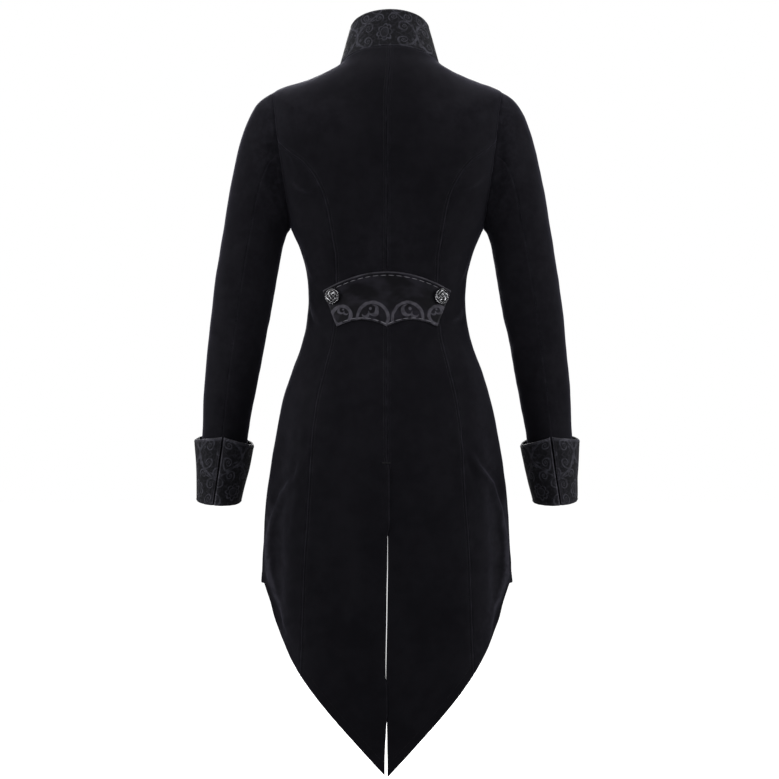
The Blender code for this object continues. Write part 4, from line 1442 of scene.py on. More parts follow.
# The light of each edge kind below is a highlight painted along it
SEAM = EdgeWork(roll=0.8, roll_reach=1.4, puff=0.25, pucker=0.14, light=0.22)
TOPSTITCHED = EdgeWork(roll=0.9, roll_reach=1.4, stitch_at=5.5, stitch_depth=0.45, puff=0.4, pucker=0.25,
                       light=0.29, stitch_light=0.17)
CENTRE = EdgeWork(roll=0.7, roll_reach=1.3, stitch_at=5.5, stitch_depth=0.35, puff=0.3, pucker=0.16,
                  light=0.25, stitch_light=0.12)
FREE_EDGE = EdgeWork(roll=0.9, roll_reach=1.2, stitch_at=13.0, stitch_depth=0.15, puff=0.0,
                     allowance=15.0, allowance_height=0.35, pucker=0.25, light=0.35, light_at=1.0)
VENT_EDGE = EdgeWork(roll=0.9, roll_reach=1.2, puff=0.25, pucker=0.22, light=0.30, light_at=1.0)
SHOULDER_SEAM = EdgeWork(roll=0.3, roll_reach=1.4, puff=0.1, pucker=0.1, light=0.1)
ARMHOLE = EdgeWork(roll=0.8, roll_reach=1.3, puff=0.5, pucker=0.3, light=0.60)
SLEEVE_HEAD = EdgeWork(roll=0.9, roll_reach=1.6, puff=0.3, pucker=0.3)
SLEEVE_SEAM = EdgeWork(roll=0.35, roll_reach=1.3, puff=0.12, pucker=0.12, light=0.12)
NECK_SEAM = EdgeWork(roll=1.2, roll_reach=2.2, puff=0.4, pucker=0.1)

# The line down each side of the skirt, along which a highlight is painted
SKIRT_SIDE = [(62, -520), (62, -640), (64, -760), (60, -850), (48, -940), (40, -1000)]
# Places without a crease where light is painted into the colour: the shoulders, and the middle and sides
# of the waist, which the lamps leave in shade
PAINTED_LIGHT_PATCHES = [
    Crease([(12, -84), (32, -98), (50, -112), (68, -132)], 0.0, 70.0, 0.0, 0.12),
    Crease([(2, -235), (2, -300), (2, -360)], 0.0, 120.0, 0.0, 0.12),
    Crease([(60, -270), (62, -320), (62, -370)], 0.0, 70.0, 0.0, 0.06),
]
# The last number of a crease is the highlight painted along its ridge
LEFT_CREASES = [
    Crease([(40.4, -600), (49, -652), (63.7, -680), (71.4, -720), (74.5, -760), (71.9, -808),
            (66.3, -842), (55.5, -874), (45.8, -906)], 3.8, 7.5, 0.7, 0.12),
    Crease([(82, -640), (85, -700), (84, -760), (80, -800)], 1.8, 5.0, 0.6),
    Crease([(50, -520), (47, -600), (48, -700), (52, -780)], 1.3, 7.0, 0.5),
    Crease([(74.1, -376), (65.7, -394), (54.7, -411)], 2.4, 6.0, 0.6, 0.45),
    Crease([(58, -196), (52.8, -204), (46.3, -209), (40, -210)], 1.6, 6.0, 0.5, 0.25),
    Crease([(54.1, -158), (51, -172), (47.9, -187)], 1.3, 7.0, 0.4),
    Crease([(30, -440), (36, -470), (44, -490)], 1.0, 9.0, 0.3),
    Crease([(78, -300), (72, -322), (62, -336)], 1.3, 7.0, 0.5),
    Crease([(14, -690), (13, -800), (18, -930), (24, -1020)], 1.4, 14.0, 0.3),
    # Painted highlights with no relief: a broad band down the skirt's side and two streaks near its edge
    Crease(SKIRT_SIDE, 0.0, 50.0, 0.0, 0.20),
    Crease([(79, -680), (77, -770), (73, -830)], 0.0, 14.0, 0.0, 0.9),
    Crease([(74, -700), (74.5, -760), (71.9, -808), (66.3, -842), (55.5, -874)], 0.0, 9.0, 0.0, 1.4),
] + PAINTED_LIGHT_PATCHES
RIGHT_CREASES = [
    Crease([(39.4, -600), (51.3, -639), (64.4, -664), (71, -704), (74.5, -760), (72.6, -808),
            (67.1, -847), (55.2, -885)], 5.2, 7.5, 0.9, 0.10),
    Crease([(84, -660), (86, -720), (83, -780), (77, -820)], 2.2, 5.0, 0.6),
    Crease([(40.5, -572), (44, -632), (49.6, -684)], -2.4, 7.0),
    Crease([(72, -384), (64, -398), (52, -408)], 2.0, 6.0, 0.5, 0.40),
    Crease([(60, -190), (52, -201), (44, -206)], 1.2, 6.5, 0.4, 0.20),
    Crease([(76, -306), (69, -326), (60, -344)], 1.7, 7.0, 0.5),
    Crease([(16, -700), (15, -820), (19, -940), (22, -1010)], 1.1, 15.0, 0.3),
    # Painted highlights with no relief: a broad band down the skirt's side and two streaks near its edge
    Crease(SKIRT_SIDE, 0.0, 50.0, 0.0, 0.22),
    Crease([(80, -680), (79, -770), (75, -840)], 0.0, 14.0, 0.0, 1.0),
    Crease([(72, -704), (74.5, -760), (72.6, -808), (67.1, -847), (60, -870)], 0.0, 9.0, 0.0, 1.5),
] + PAINTED_LIGHT_PATCHES
FRONT_CREASES = [
    Crease([(108, -262), (118, -282), (130, -292)], 1.6, 7.0, 0.5),
    Crease([(104, -352), (116, -372), (130, -380)], 1.8, 6.0, 0.6),
    Crease([(150, -120), (142, -150), (136, -176)], 1.2, 9.0, 0.3),
]


def first_row(rows: Array, level: float) -> int:
    """Number of the first row at or below a level."""
    return int(np.argmax(rows <= level))


@dataclass
class CoatBody:
    """The eight panels of the body, tails included."""

    form: BodyForm
    wardrobe: Wardrobe
    cloth: float = 1.6
    spacing: float = 3.2
    tail_rows: int = 146
    skirt_rows: int = 128
    stitching: Stitching = field(default_factory=Stitching)

    def upper_levels(self, first: float) -> Array:
        """Rows from a level down to the armpit, close together where the armhole runs level."""
        yoke = np.arange(NECK.level, SHOULDER_LEVEL + 1, -self.spacing)
        angles = np.radians(np.arange(0, 180, 2.6))
        armhole = SHOULDER_LEVEL + (ARMPIT_LEVEL - SHOULDER_LEVEL) * (1 - np.cos(angles)) / 2
        levels = np.concatenate([yoke, armhole])
        return np.concatenate([[first], levels[levels < first - 0.3]]) if first < NECK.level else levels

    def rows(self, back: bool, first: float) -> Array:
        """Names of the rows of back or front pieces, from a level down to the hem."""
        start, count = (VENT_TOP, self.tail_rows) if back else (CUT_START, self.skirt_rows)
        waist = np.arange(ARMPIT_LEVEL, start + 1, -self.spacing)
        return np.concatenate([self.upper_levels(first), waist, np.linspace(start, CORNER_LEVEL, count)])

    def beside_seam(self, seam: EdgeOf, distance: float) -> EdgeOf:
        """An edge that keeps a distance from a seam, squarely across it."""

        def edge(level: Array) -> Array:
            """Turns of the edge at levels."""
            turn = seam(level)
            ahead = self.form.point(seam(level - 2), level) - self.form.point(seam(level + 2), level)
            run = np.linalg.norm(ahead, axis=-1) / 4
            return turn + self.form.turn_for(distance * np.sqrt(1 + run * run), turn, level)

        return edge

    def princess(self, back: bool, toward: float) -> EdgeOf:
        """The edge beside a princess seam; below the corner it first runs straight.

        Args:
            back: True for the back seam.
            toward: 1 for the piece in front of the seam, -1 for the one behind it.

        Returns:
            The edge.
        """
        form = self.form
        gap = (SEAM_GAP if back else FRONT_SEAM_GAP) / 2 * toward
        curve, low, high = (form.back_princess, 5, 89) if back else (form.front_princess, 175, 91)
        beside = self.beside_seam(lambda level: form.seam_turn(curve, level, low, high), gap)
        corner, start = (
            (BACK_CORNER_LEVEL, BACK_SEAM_LEVEL) if back else (FRONT_CORNER_LEVEL, FRONT_SEAM_LEVEL)
        )
        reach = ARMHOLE_BACK if back else -ARMHOLE_FRONT
        inward = -1 if back else 1
        left = CORNER_LEFT - (SEAM_GAP * 1.5 if back else FRONT_SEAM_GAP * 1.8) * (toward == -inward)

        def edge(level: Array) -> Array:
            """Turns of the edge at levels."""
            turn = form.armhole_edge(np.array([corner]), reach)
            top = turn + form.turn_for(inward * left, turn, np.array([corner]))
            share = np.clip((corner - level) / (corner - start), 0, 1)
            joined = top + (beside(np.array([float(start)])) - top) * share
            return np.where(level < start, beside(level), joined)

        return edge

    def centre_back(self, side: Side) -> EdgeOf:
        """Edge of a back piece at the middle: a seam, then the vent, where the left
        piece laps over the right one in places."""
        form = self.form

        def edge(level: Array) -> Array:
            """Turns of the edge at levels."""
            lap = form.vent_lap.at(level) if side is Side.LEFT else 0.0
            reach = form.vent.at(level) / 2 - form.vent_lean.at(level) * side.value - lap
            return form.turn_for(reach, np.zeros_like(level), level)

        return edge

    def outer_edge(self, back: bool) -> EdgeOf:
        """Shoulder seam, armhole, then princess seam, for a back or a front piece."""
        reach = ARMHOLE_BACK if back else -ARMHOLE_FRONT
        corner = BACK_CORNER_LEVEL if back else FRONT_CORNER_LEVEL
        princess = self.princess(back, -1.0 if back else 1.0)
        inward = -SEAM_GAP / 2 if back else SEAM_GAP / 2

        def edge(level: Array) -> Array:
            """Turns of the edge at levels."""
            arm = self.form.armhole_edge(level, reach)
            arm = arm + self.form.turn_for(inward, arm, level)
            return np.where(level <= corner, princess(level), arm)

        return edge

    def armhole_then_side(self, back: bool) -> EdgeOf:
        """Armhole, then side seam, for a side back or side front piece."""
        reach = ARMHOLE_BACK if back else -ARMHOLE_FRONT
        inward = -SEAM_GAP / 2 if back else SEAM_GAP / 2

        def edge(level: Array) -> Array:
            """Turns of the edge at levels."""
            arm = self.form.armhole_edge(level, reach)
            side = np.full_like(level, 90.0)
            side = side + self.form.turn_for(inward, side, level)
            return np.where(level <= ARMPIT_LEVEL, side, arm)

        return edge

    def cut_back(self, seed: int, side: Side) -> Cut:
        """The back piece with its tail."""
        rows = self.rows(True, NECK.level)
        grid = lay_rows(
            self.form, rows, self.form.back_level, self.centre_back(side), self.outer_edge(True), 30
        )
        cut = Cut(self.form, *grid, seed=seed)
        vent = first_row(rows, VENT_TOP)
        shoulder = first_row(rows, SHOULDER_LEVEL)
        corner = first_row(rows, BACK_CORNER_LEVEL)
        cut.finish_edge(Rim.TOP, NECK_SEAM)
        cut.finish_edge(Rim.END, SHOULDER_SEAM, slice(0, shoulder + 1))
        cut.finish_edge(Rim.END, ARMHOLE, slice(shoulder + 9, corner + 1))
        cut.finish_edge(Rim.END, TOPSTITCHED, slice(corner, None))
        cut.finish_edge(Rim.START, CENTRE, slice(0, vent + 1))
        cut.finish_edge(Rim.START, VENT_EDGE, slice(vent, None))
        cut.finish_edge(Rim.FOOT, FREE_EDGE)
        if side is Side.LEFT:
            near = 1 - smooth_step(cut.distance_to(Rim.START, slice(vent, None))[0] / VENT_LAP_REACH)
            cut.rise += VENT_LAP_RISE * self.form.vent_lap.at(cut.v) * near
        cut.marks = {"vent": vent, "corner": corner}
        return cut

    def cut_side_back(self, seed: int) -> Cut:
        """The side back piece with its share of the tail."""
        rows = self.rows(True, BACK_CORNER_LEVEL)
        grid = lay_rows(
            self.form, rows, self.form.back_level, self.princess(True, 1.0),
            self.armhole_then_side(True), 20,
        )
        cut = Cut(self.form, *grid, seed=seed)
        armpit = first_row(rows, ARMPIT_LEVEL)
        cut.finish_edge(Rim.START, SEAM)
        cut.finish_edge(Rim.END, ARMHOLE, slice(0, armpit + 1))
        cut.finish_edge(Rim.END, SEAM, slice(armpit, None))
        cut.finish_edge(Rim.FOOT, FREE_EDGE)
        return cut

    def cut_side_front(self, seed: int) -> Cut:
        """The side front piece down to the cut-away edge."""
        rows = self.rows(False, FRONT_CORNER_LEVEL)
        grid = lay_rows(
            self.form, rows, self.form.front_level, self.armhole_then_side(False),
            self.princess(False, -1.0), 18,
        )
        cut = Cut(self.form, *grid, seed=seed)
        armpit = first_row(rows, ARMPIT_LEVEL)
        cut.finish_edge(Rim.END, SEAM)
        cut.finish_edge(Rim.START, ARMHOLE, slice(0, armpit + 1))
        cut.finish_edge(Rim.START, SEAM, slice(armpit, None))
        cut.finish_edge(Rim.FOOT, FREE_EDGE)
        return cut

    def cut_front(self, seed: int, lapped: bool) -> Cut:
        """The front piece, which laps over the other one where lapped."""
        rows = self.rows(False, NECK.level)
        grid = lay_rows(
            self.form, rows, self.form.front_level, self.outer_edge(False),
            lambda level: self.form.line_turn(-LAP, level), 30,
        )
        cut = Cut(self.form, *grid, seed=seed, lap=lapped)
        shoulder = first_row(rows, SHOULDER_LEVEL)
        corner = first_row(rows, FRONT_CORNER_LEVEL)
        cut.finish_edge(Rim.TOP, NECK_SEAM)
        cut.finish_edge(Rim.START, SEAM, slice(0, shoulder + 1))
        cut.finish_edge(Rim.START, ARMHOLE, slice(shoulder, corner + 1))
        cut.finish_edge(Rim.START, SEAM, slice(corner, None))
        cut.finish_edge(Rim.END, FREE_EDGE)
        cut.finish_edge(Rim.FOOT, FREE_EDGE)
        return cut

    def add(self, kind: str, cut: Cut, side: Side, creases: list, flat: tuple, area: float) -> None:
        """Creases a cut piece, makes its shell and hands it over."""
        for crease in creases:
            cut.crease(crease)
        cut.waver(0.55, 95.0, 40 + side.value)
        cut.waver(0.22, 34.0, 50 + side.value)
        name = f"{kind}_{side.word}"
        piece = shell(f"{name}_cloth", cut, side, self.cloth, [self.wardrobe.velvet, self.wardrobe.back])
        hand_over(piece, "velvet", name)

    def build(self) -> None:
        """Builds every panel and its stitching."""
        for side, creases in ((Side.LEFT, LEFT_CREASES), (Side.RIGHT, RIGHT_CREASES)):
            seed = 10 if side is Side.LEFT else 20
            back = self.cut_back(seed, side)
            self.add("back", back, side, creases, (0.22, 1.17), 0.150)
            self.add("side_back", self.cut_side_back(seed + 1), side, creases, (0.18, 0.85), 0.080)
            self.add("side_front", self.cut_side_front(seed + 2), side, FRONT_CREASES, (0.17, 0.68), 0.056)
            front = self.cut_front(seed + 3, side is Side.RIGHT)
            self.add("front", front, side, FRONT_CREASES, (0.26, 0.54), 0.066)
            corner, vent = back.marks["corner"], back.marks["vent"]
            princess = back.line_at(Rim.END, TOPSTITCHED.stitch_at, slice(corner + 2, None), 0.12)
            self.stitching.add(princess, side)
            self.stitching.add(back.line_at(Rim.FOOT, FREE_EDGE.stitch_at, lift=0.1), side)
            if side is Side.LEFT:
                self.stitching.add(back.line_at(Rim.START, CENTRE.stitch_at, slice(1, vent), 0.12), side)
        piece = self.stitching.make("velvet_stitching", self.wardrobe.dark_thread)
        hand_over(piece, "velvet")
        hand_over(self.bar_tack(), "velvet")

    def bar_tack(self) -> Piece:
        """A short bar of close upright stitches across the top of the vent."""
        bar = Stitching(pitch=3.0, length=2.9, radius=0.55)
        levels = np.array([VENT_TOP + 6.6, VENT_TOP + 3.5])
        for x in np.arange(-4.8, 7.6, 0.8):
            turns = self.form.turn_for(np.full(2, x), np.zeros(2), levels)
            bar.add(self.form.point(turns, levels) + self.form.normal(turns, levels) * 2.3, Side.LEFT)
        return bar.make("vent_bar_tack", self.wardrobe.dark_thread)


@dataclass
class Sleeve:
    """A two-piece sleeve with its turned-back cuff."""

    side: Side
    form: SleeveForm
    wardrobe: Wardrobe
    cloth: float = 1.6
    cuff_cloth: float = 3.2
    cuff_seam: float = 26.0
    # Light painted into the sleeve's colour: beside its head behind, on its cap, and over the half of the
    # arm that faces back
    brushed: float = 0.22
    brushed_reach: float = 34.0
    cap: float = 0.16
    cap_reach: float = 16.0
    pile: float = 0.075
    arm_radius: float = 45.0
    spacing: float = 3.3

    def steps(self) -> Array:
        """Steps of the rows, evenly spaced down the outer side of the arm."""
        fine = np.linspace(0, LAST_STEP, 600)
        run = run_along(self.form.point(np.zeros_like(fine), fine))
        head, below = [0, 0.6, 1.3, 2.2, 3.2, 4.5, 6], np.arange(8.5, run[-1], self.spacing)
        places = np.concatenate([head, below, [run[-1]]])
        return np.interp(places, run, fine)

    def cut_piece(self, low: float, high: float, count: int, seed: int) -> Cut:
        """An upper or under sleeve between two angles."""
        steps = self.steps()
        width = SLEEVE_SEAM_GAP / 2 / self.arm_radius * 180 / math.pi
        grid = lay_rows(
            self.form, steps, lambda row, angle: row, lambda step: np.full_like(step, low + width),
            lambda step: np.full_like(step, high - width), count,
        )
        cut = Cut(self.form, *grid, seed=seed)
        cut.finish_edge(Rim.TOP, SLEEVE_HEAD)
        cut.rise *= smooth_step((np.abs(grid[0]) - 20.0) / 35.0)
        cut.finish_edge(Rim.START, SLEEVE_SEAM)
        cut.finish_edge(Rim.END, SLEEVE_SEAM)
        # Painted light: lighter beside the head behind, where the sleeve lies in shade, on its cap, and
        # over its back half
        from_head = cut.distance_to(Rim.TOP)[0]
        behind = smooth_step((grid[0] + 5.0) / 30.0) * smooth_step((165.0 - grid[0]) / 40.0)
        cut.worn += self.brushed * behind * bell(from_head, self.brushed_reach)
        above = smooth_step((80.0 - grid[0]) / 30.0)
        cut.worn += self.cap * behind * above * bell(from_head, self.cap_reach)
        cut.worn += self.pile * np.maximum(np.sin(np.radians(grid[0])), 0.0) ** 2
        return cut

    def creases(self) -> list:
        """Soft folds at the elbow and below the cap."""
        lean = 1.0 if self.side is Side.LEFT else 0.7
        return [
            Crease([(118, 8.0), (140, 8.6), (166, 8.9)], 1.3 * lean, 8.0, 0.5),
            Crease([(112, 9.6), (136, 9.8), (164, 10.2)], 1.5, 8.0, 0.6),
            Crease([(192, 9.2), (214, 9.6), (236, 9.8)], 1.4, 8.0, 0.5),
            Crease([(104, 11.0), (130, 10.9), (158, 11.2)], 1.1 * lean, 8.0, 0.5),
            Crease([(118, 3.0), (130, 4.6), (150, 6.0)], 1.6, 9.0, 0.5),
            Crease([(70, 1.2), (86, 2.6), (104, 4.8)], 1.1 * lean, 10.0, 0.4),
            Crease([(-60, 1.5), (-90, 3.0), (-120, 4.6)], 1.3, 10.0, 0.4),
            Crease([(60, 11.6), (86, 12.0), (110, 12.0)], 0.9, 8.0, 0.3),
        ]

    def build(self) -> None:
        """Builds both pieces and the cuff."""
        seed = 60 if self.side is Side.LEFT else 70
        for kind, low, high, count, flat, area in (
            ("upper_sleeve", -99.0, HINDARM_ANGLE, 42, (0.22, 0.70), 0.103),
            ("under_sleeve", HINDARM_ANGLE, 261.0, 26, (0.18, 0.52), 0.071),
        ):
            cut = self.cut_piece(low, high, count, seed)
            for crease in self.creases():
                cut.crease(crease)
            cut.waver(0.5, 80.0, seed + 5)
            cut.waver(0.2, 30.0, seed + 6)
            name = f"{kind}_{self.side.word}"
            finishes = [self.wardrobe.velvet, self.wardrobe.back]
            piece = shell(f"{name}_cloth", cut, self.side, self.cloth, finishes)
            hand_over(piece, "velvet", name)
            seed += 1
        self.build_cuff(seed)

    def build_cuff(self, seed: int) -> None:
        """Builds the turned-back cuff with its slit and stitching."""
        form = CuffForm(self.form)
        foot, top = [0, 0.02, 0.045, 0.08], [0.92, 0.955, 0.98, 1]
        shares = np.concatenate([foot, np.linspace(0.11, 0.89, 36), top])
        grid = lay_rows(
            form, shares, lambda row, angle: row, lambda share: form.slit(share) + form.half_slit,
            lambda share: form.slit(share) + 360 - form.half_slit, 130, NARROW_MARGINS,
        )
        cut = Cut(form, *grid, seed=seed)
        # The rim's light paints a highlight along every edge of the cuff
        rim = EdgeWork(roll=1.2, roll_reach=1.3, stitch_at=4.0, stitch_depth=0.3, puff=0.25, pucker=0.15,
                       light=0.40, light_at=0.9, stitch_light=0.14)
        for edge in Rim:
            cut.finish_edge(edge, rim)
        # A painted highlight along the foot
        cut.worn += 0.25 * bell(cut.distance_to(Rim.FOOT)[0] - 2.0, 1.6)
        seam = [(self.cuff_seam, share) for share in (0.0, 0.5, 1.0)]
        cut.crease(Crease(seam, -0.6, 0.9))
        # A painted highlight beside the cuff's seam
        cut.worn += 0.18 * bell(np.abs(cut.u - 360 - self.cuff_seam) - 2.4, 1.1)
        cut.waver(0.5, 34.0, seed)
        name = f"cuff_{self.side.word}"
        piece = shell(f"{name}_cloth", cut, self.side, self.cuff_cloth, [self.wardrobe.damask] * 2)
        hand_over(piece, "damask", name)
        stitching = Stitching(pitch=3.0, length=2.2, radius=0.24)
        for edge in (Rim.FOOT, Rim.START, Rim.END):
            stitching.add(cut.line_at(edge, rim.stitch_at, lift=0.05), self.side)
        hand_over(stitching.make(f"{name}_stitching", self.wardrobe.dark_thread), "damask")


@dataclass
class Collar:
    """The stand collar of damask."""

    form: CollarForm
    wardrobe: Wardrobe
    cloth: float = 2.6

    def build(self) -> None:
        """Builds the collar with its stitching."""
        seam, rim = [0, 0.012, 0.03, 0.06], [0.93, 0.955, 0.975, 0.99, 1]
        shares = np.concatenate([seam, np.linspace(0.085, 0.90, 38), rim])
        end = 180 - math.degrees(2.0 / NECK.half_width)
        grid = lay_rows(
            self.form, shares, lambda row, turn: row, lambda share: np.full_like(share, -end),
            lambda share: np.full_like(share, end), 190, NARROW_MARGINS,
        )
        cut = Cut(self.form, *grid, seed=80)
        # The edges' light paints highlights along the collar's rims and its seam
        rim = EdgeWork(roll=1.2, roll_reach=1.5, stitch_at=4.5, stitch_depth=0.3, puff=0.25, pucker=0.1,
                       light=0.2, light_at=0.9)
        for edge in (Rim.FOOT, Rim.START, Rim.END):
            cut.finish_edge(edge, rim)
        cut.finish_edge(Rim.TOP, EdgeWork(roll=0.8, roll_reach=1.4, light=0.25, light_at=0.6))
        cut.waver(0.3, 60.0, 81)
        piece = shell("collar_cloth", cut, Side.LEFT, self.cloth, [self.wardrobe.damask] * 2)
        hand_over(piece, "damask", "collar")
        stitching = Stitching(pitch=3.0, length=2.2, radius=0.24)
        stitching.add(cut.line_at(Rim.FOOT, rim.stitch_at, lift=0.05), Side.LEFT)
        hand_over(stitching.make("collar_stitching", self.wardrobe.dark_thread), "damask")


@dataclass
class HalfBelt:
    """The half-belt across the back waist; Buttons makes the buttons that hold it."""

    form: BeltForm
    wardrobe: Wardrobe
    cloth: float = 2.2
    lift: float = 3.4

    def build(self) -> None:
        """Builds the half-belt and its stitching."""
        across = np.concatenate([[-1, -0.995, -0.988, -0.978, -0.965], np.linspace(-0.95, 0.95, 140),
                                 [0.965, 0.978, 0.988, 0.995, 1]])
        shares = np.concatenate([[0, 0.006, 0.014, 0.025, 0.04], np.linspace(0.055, 0.945, 56),
                                 [0.96, 0.975, 0.986, 0.994, 1]])
        u, v = np.meshgrid(across, shares)
        cut = Cut(self.form, u, v, seed=90)
        # Painted highlights along the edges: a bright line under the top, dashes along the foot, and
        # fainter sides
        top = EdgeWork(roll=0.9, roll_reach=1.0, stitch_at=5.5, stitch_depth=0.45, puff=0.4, pucker=0.12,
                       light=0.75, light_at=0.8, light_width=0.8)
        foot = EdgeWork(roll=1.0, roll_reach=1.0, puff=0.3, pucker=0.12, light=0.85, light_at=1.9,
                        light_width=1.3, dash=14.0)
        side = EdgeWork(roll=1.0, roll_reach=1.0, puff=0.3, pucker=0.12, light=0.35, light_at=1.6)
        for edge, work in ((Rim.TOP, top), (Rim.FOOT, foot), (Rim.START, side), (Rim.END, side)):
            cut.finish_edge(edge, work)
        cut.waver(0.3, 50.0, 91)
        piece = shell("half_belt_cloth", cut, Side.LEFT, self.cloth,
                      [self.wardrobe.satin, self.wardrobe.back], self.lift)
        hand_over(piece, "belt_satin", "half_belt")
        stitching = Stitching(pitch=12.4, length=9.6, radius=0.5)
        stitching.add(cut.line_at(Rim.TOP, top.stitch_at, lift=self.lift + 0.1), Side.LEFT)
        stitching.add(cut.line_at(Rim.FOOT, 2.6, lift=self.lift + 0.1), Side.LEFT)
        hand_over(stitching.make("belt_stitching", self.wardrobe.grey_thread), "belt_satin")


class ButtonSpot(NamedTuple):
    """A button's node, radius, place on the body, side and lift off the cloth."""

    node: str
    radius: float
    turn: float
    level: float
    side: Side
    lift: float


@dataclass
class Button:
    """A cast button with a rope rim and an interlaced knot."""

    spot: ButtonSpot
    form: BodyForm
    metals: list
    rope_strands: int = 26

    def dome(self, maker: bmesh.types.BMesh) -> None:
        """Spins the domed disc."""
        radius = self.spot.radius
        profile = [(0, 0), (0.30, 0), (0.86, 0.06), (0.97, 0.13), (1.0, 0.20), (0.97, 0.27),
                   (0.88, 0.29), (0.84, 0.24), (0.78, 0.25), (0.55, 0.31), (0.25, 0.35), (0, 0.36)]
        corners = [maker.verts.new((across * radius, 0, up * radius)) for across, up in profile]
        edges = [maker.edges.new(pair) for pair in zip(corners, corners[1:])]
        bmesh.ops.spin(maker, geom=corners + edges, cent=(0, 0, 0), axis=(0, 0, 1), angle=math.tau,
                       steps=56, use_merge=True)
        bmesh.ops.remove_doubles(maker, verts=maker.verts[:], dist=0.0001)

    def rope(self, maker: bmesh.types.BMesh) -> None:
        """Lays slanted strands round the rim."""
        radius = self.spot.radius
        for number in range(self.rope_strands):
            turn = Matrix.Rotation(math.tau * number / self.rope_strands, 4, "Z")
            lean = Matrix.Rotation(math.radians(38), 4, "X")
            size = Matrix.Diagonal((radius * 0.075, radius * 0.15, radius * 0.075, 1))
            matrix = turn @ Matrix.Translation((radius * 0.89, 0, radius * 0.285)) @ lean @ size
            bmesh.ops.create_uvsphere(maker, u_segments=8, v_segments=5, radius=1, matrix=matrix)

    def knot(self, maker: bmesh.types.BMesh) -> None:
        """Weaves one endless strand over and under itself."""
        radius, lobes, count = self.spot.radius, 4, 144
        path = []
        for number in range(count):
            angle = math.tau * 3 * number / count
            reach = radius * (0.43 + 0.27 * math.cos(angle * lobes / 3))
            up = radius * (0.375 - 0.13 * (reach / radius) ** 2 + 0.045 * math.sin(angle * lobes * 2 / 3))
            path.append(Vector((reach * math.cos(angle), reach * math.sin(angle), up)))
        strand = bpy.data.curves.new(f"{self.spot.node}_strand", "CURVE")
        strand.dimensions = "3D"
        strand.bevel_depth, strand.bevel_resolution = radius * 0.066, 2
        spline = strand.splines.new("POLY")
        spline.points.add(count - 1)
        spline.use_cyclic_u = True
        for point, place in zip(spline.points, path):
            point.co = (*place, 1)
        helper = bpy.data.objects.new(strand.name, strand)
        bpy.context.collection.objects.link(helper)
        made = bpy.data.meshes.new_from_object(helper)
        maker.from_mesh(made)
        bpy.data.objects.remove(helper)
        bpy.data.curves.remove(strand)
        bpy.data.meshes.remove(made)

    def build(self) -> None:
        """Builds the button on its place."""
        maker = bmesh.new()
        self.dome(maker)
        hollows = len(maker.faces)
        self.rope(maker)
        self.knot(maker)
        for number, face in enumerate(maker.faces):
            face.material_index = 1 if number < hollows else 0
        turn, level = np.array(self.spot.turn), np.array(self.spot.level)
        mirror = np.array([self.spot.side.value, 1.0, 1.0])
        point = leaned(self.form.point(turn, level) * mirror)
        normal = self.form.normal(turn, level) * mirror
        facing = Vector(normal).to_track_quat("Z", "Y").to_matrix().to_4x4()
        at = Matrix.Translation(Vector(point + normal * self.spot.lift))
        bmesh.ops.transform(maker, matrix=Matrix.Scale(MM, 4) @ at @ facing, verts=maker.verts[:])
        bmesh.ops.recalc_face_normals(maker, faces=maker.faces[:])
        mesh = bpy.data.meshes.new(f"{self.spot.node}_cast")
        maker.to_mesh(mesh)
        maker.free()
        for metal in self.metals:
            mesh.materials.append(metal)
        hand_over(placed(f"{self.spot.node}_cast", mesh, 35.0), "pewter", self.spot.node)


@dataclass
class Buttons:
    """The two buttons of the half-belt and the five of the front."""

    form: BodyForm
    metals: list
    back_radius: float = 12.5
    back_x: float = 83.5
    back_level: float = -366.0
    back_lift: float = 3.75
    front_radius: float = 10.0
    front_lift: float = 2.85
    front_levels: tuple = (-84.0, -146.0, -208.0, -270.0, -332.0)

    def build(self) -> None:
        """Builds every button."""
        turn = float(self.form.line_turn(self.back_x, np.array([self.back_level]), 0.0, 80.0)[0])
        for side in Side:
            node = f"back_button_{side.word}"
            spot = ButtonSpot(node, self.back_radius, turn, self.back_level, side, self.back_lift)
            Button(spot, self.form, self.metals).build()
        for number, level in enumerate(self.front_levels, 1):
            node = f"front_button_{number}"
            spot = ButtonSpot(node, self.front_radius, 180.0, level, Side.LEFT, self.front_lift)
            Button(spot, self.form, self.metals).build()


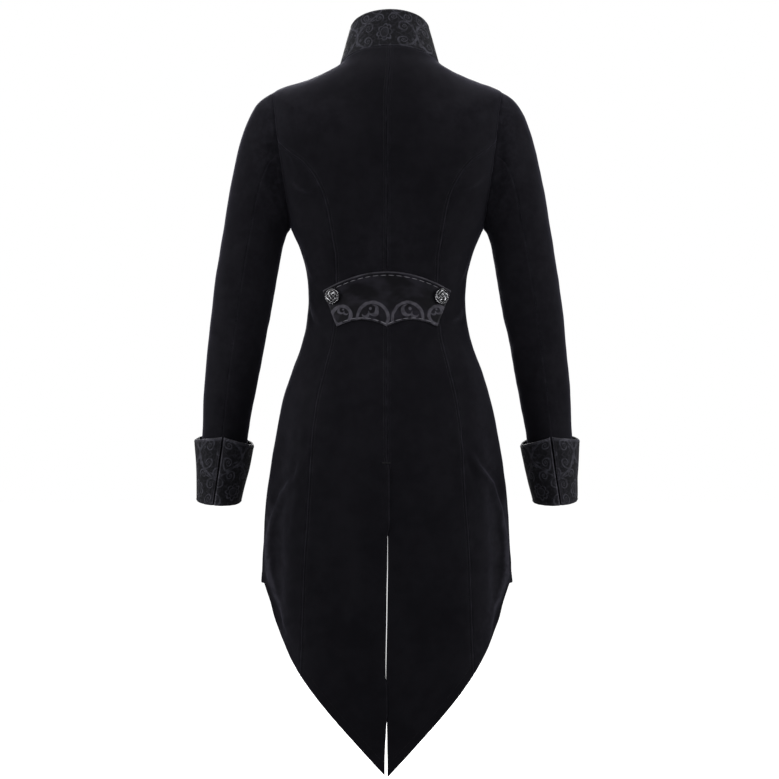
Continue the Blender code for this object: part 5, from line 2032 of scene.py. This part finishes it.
@dataclass
class Studio:
    """The pale floor, the soft lights and the camera."""

    camera_x: float = -0.004
    camera_y: float = 3.6
    camera_z: float = -0.513
    lens: float = 36.0 * 2250 / 779
    floor_z: float = -1.40

    def floor(self) -> None:
        """A large pale floor."""
        maker = bmesh.new()
        bmesh.ops.create_grid(maker, x_segments=8, y_segments=8, size=14)
        bmesh.ops.translate(maker, verts=maker.verts[:], vec=(0, 0, self.floor_z))
        mesh = bpy.data.meshes.new("floor")
        maker.to_mesh(mesh)
        maker.free()
        g = Graph("floor")
        speck = g.noise(g.object_place, 3.0, 2.0)
        mesh.materials.append(
            g.set(
                Base_Color=g.mix(speck, (0.86, 0.86, 0.86, 1), (0.90, 0.90, 0.90, 1)), Roughness=0.9,
                Emission_Color=(1, 1, 1, 1), Emission_Strength=0.9,
            )
        )
        floor = placed("floor", mesh)
        floor.visible_diffuse = floor.visible_glossy = False

    def light(
        self, name: str, at: tuple, aim: tuple, size: tuple, power: float, spread: float = 180.0
    ) -> None:
        """A rectangular soft light.

        Args:
            name: Name of the light.
            at: Its place.
            aim: The point it faces.
            size: Its width and height.
            power: Its power in watts.
            spread: Angle in degrees that its light stays in.
        """
        lamp = bpy.data.lights.new(name, "AREA")
        lamp.spread = math.radians(spread)
        lamp.shape, lamp.size, lamp.size_y, lamp.energy = "RECTANGLE", *size, power
        made = bpy.data.objects.new(name, lamp)
        made.location = at
        made.rotation_euler = (Vector(aim) - Vector(at)).to_track_quat("-Z", "Y").to_euler()
        bpy.context.collection.objects.link(made)

    def sky(self) -> None:
        """A white surround that lights the coat only softly."""
        world = bpy.data.worlds.new("surround")
        world.use_nodes = True
        tree = world.node_tree
        ground = tree.nodes["Background"]
        ray = tree.nodes.new("ShaderNodeLightPath")
        strength = tree.nodes.new("ShaderNodeMapRange")
        for index, value in ((1, 0.0), (2, 1.0), (3, 0.20), (4, 1.0)):
            strength.inputs[index].default_value = value
        tree.links.new(ray.outputs["Is Camera Ray"], strength.inputs[0])
        tree.links.new(strength.outputs[0], ground.inputs["Strength"])
        ground.inputs["Color"].default_value = (1, 1, 1, 1)
        bpy.context.scene.world = world

    def camera(self) -> None:
        """The camera, level and straight from behind."""
        lens = bpy.data.cameras.new("camera")
        lens.sensor_width, lens.lens = 36.0, self.lens
        made = bpy.data.objects.new("camera", lens)
        made.location = (self.camera_x, self.camera_y, self.camera_z)
        made.rotation_euler = (math.radians(90), 0, math.radians(180))
        bpy.context.collection.objects.link(made)
        bpy.context.scene.camera = made

    def build(self) -> None:
        """Sets the stage."""
        self.floor()
        self.sky()
        self.camera()
        self.light("key", (1.3, 2.9, 0.8), (0, 0, -0.14), (1.8, 1.8), 2.45, 60)
        self.light("fill", (-1.5, 2.8, 0.4), (0, 0, -0.14), (1.8, 2.2), 1.95, 60)
        self.light("waist", (0, 2.2, -0.9), (0, 0, -0.30), (0.8, 0.6), 0.15, 24)
        self.light("top", (0, -0.35, 2.2), (0, 0, -0.2), (2.4, 1.6), 62)
        self.light("left_side", (2.3, 0.7, 0.0), (0, 0, -0.4), (1.2, 2.0), 40)
        self.light("right_side", (-2.3, 0.7, 0.0), (0, 0, -0.4), (1.2, 2.0), 40)
        self.light("front", (0.4, -2.8, 0.9), (0, 0, -0.5), (2.0, 2.0), 105)
        bpy.context.scene.view_settings.view_transform = "Standard"


def main() -> None:
    """Builds the coat and its stage."""
    logging.basicConfig(level=logging.INFO, format="%(name)s: %(message)s")
    studio = Studio()
    studio.build()
    wardrobe = Wardrobe()
    body = BodyForm()
    CoatBody(body, wardrobe).build()
    for side in Side:
        Sleeve(side, SleeveForm(body), wardrobe).build()
    Collar(CollarForm(), wardrobe).build()
    HalfBelt(BeltForm(body), wardrobe).build()
    Buttons(body, [wardrobe.pewter, wardrobe.tarnish]).build()


if __name__ == "__main__":
    main()
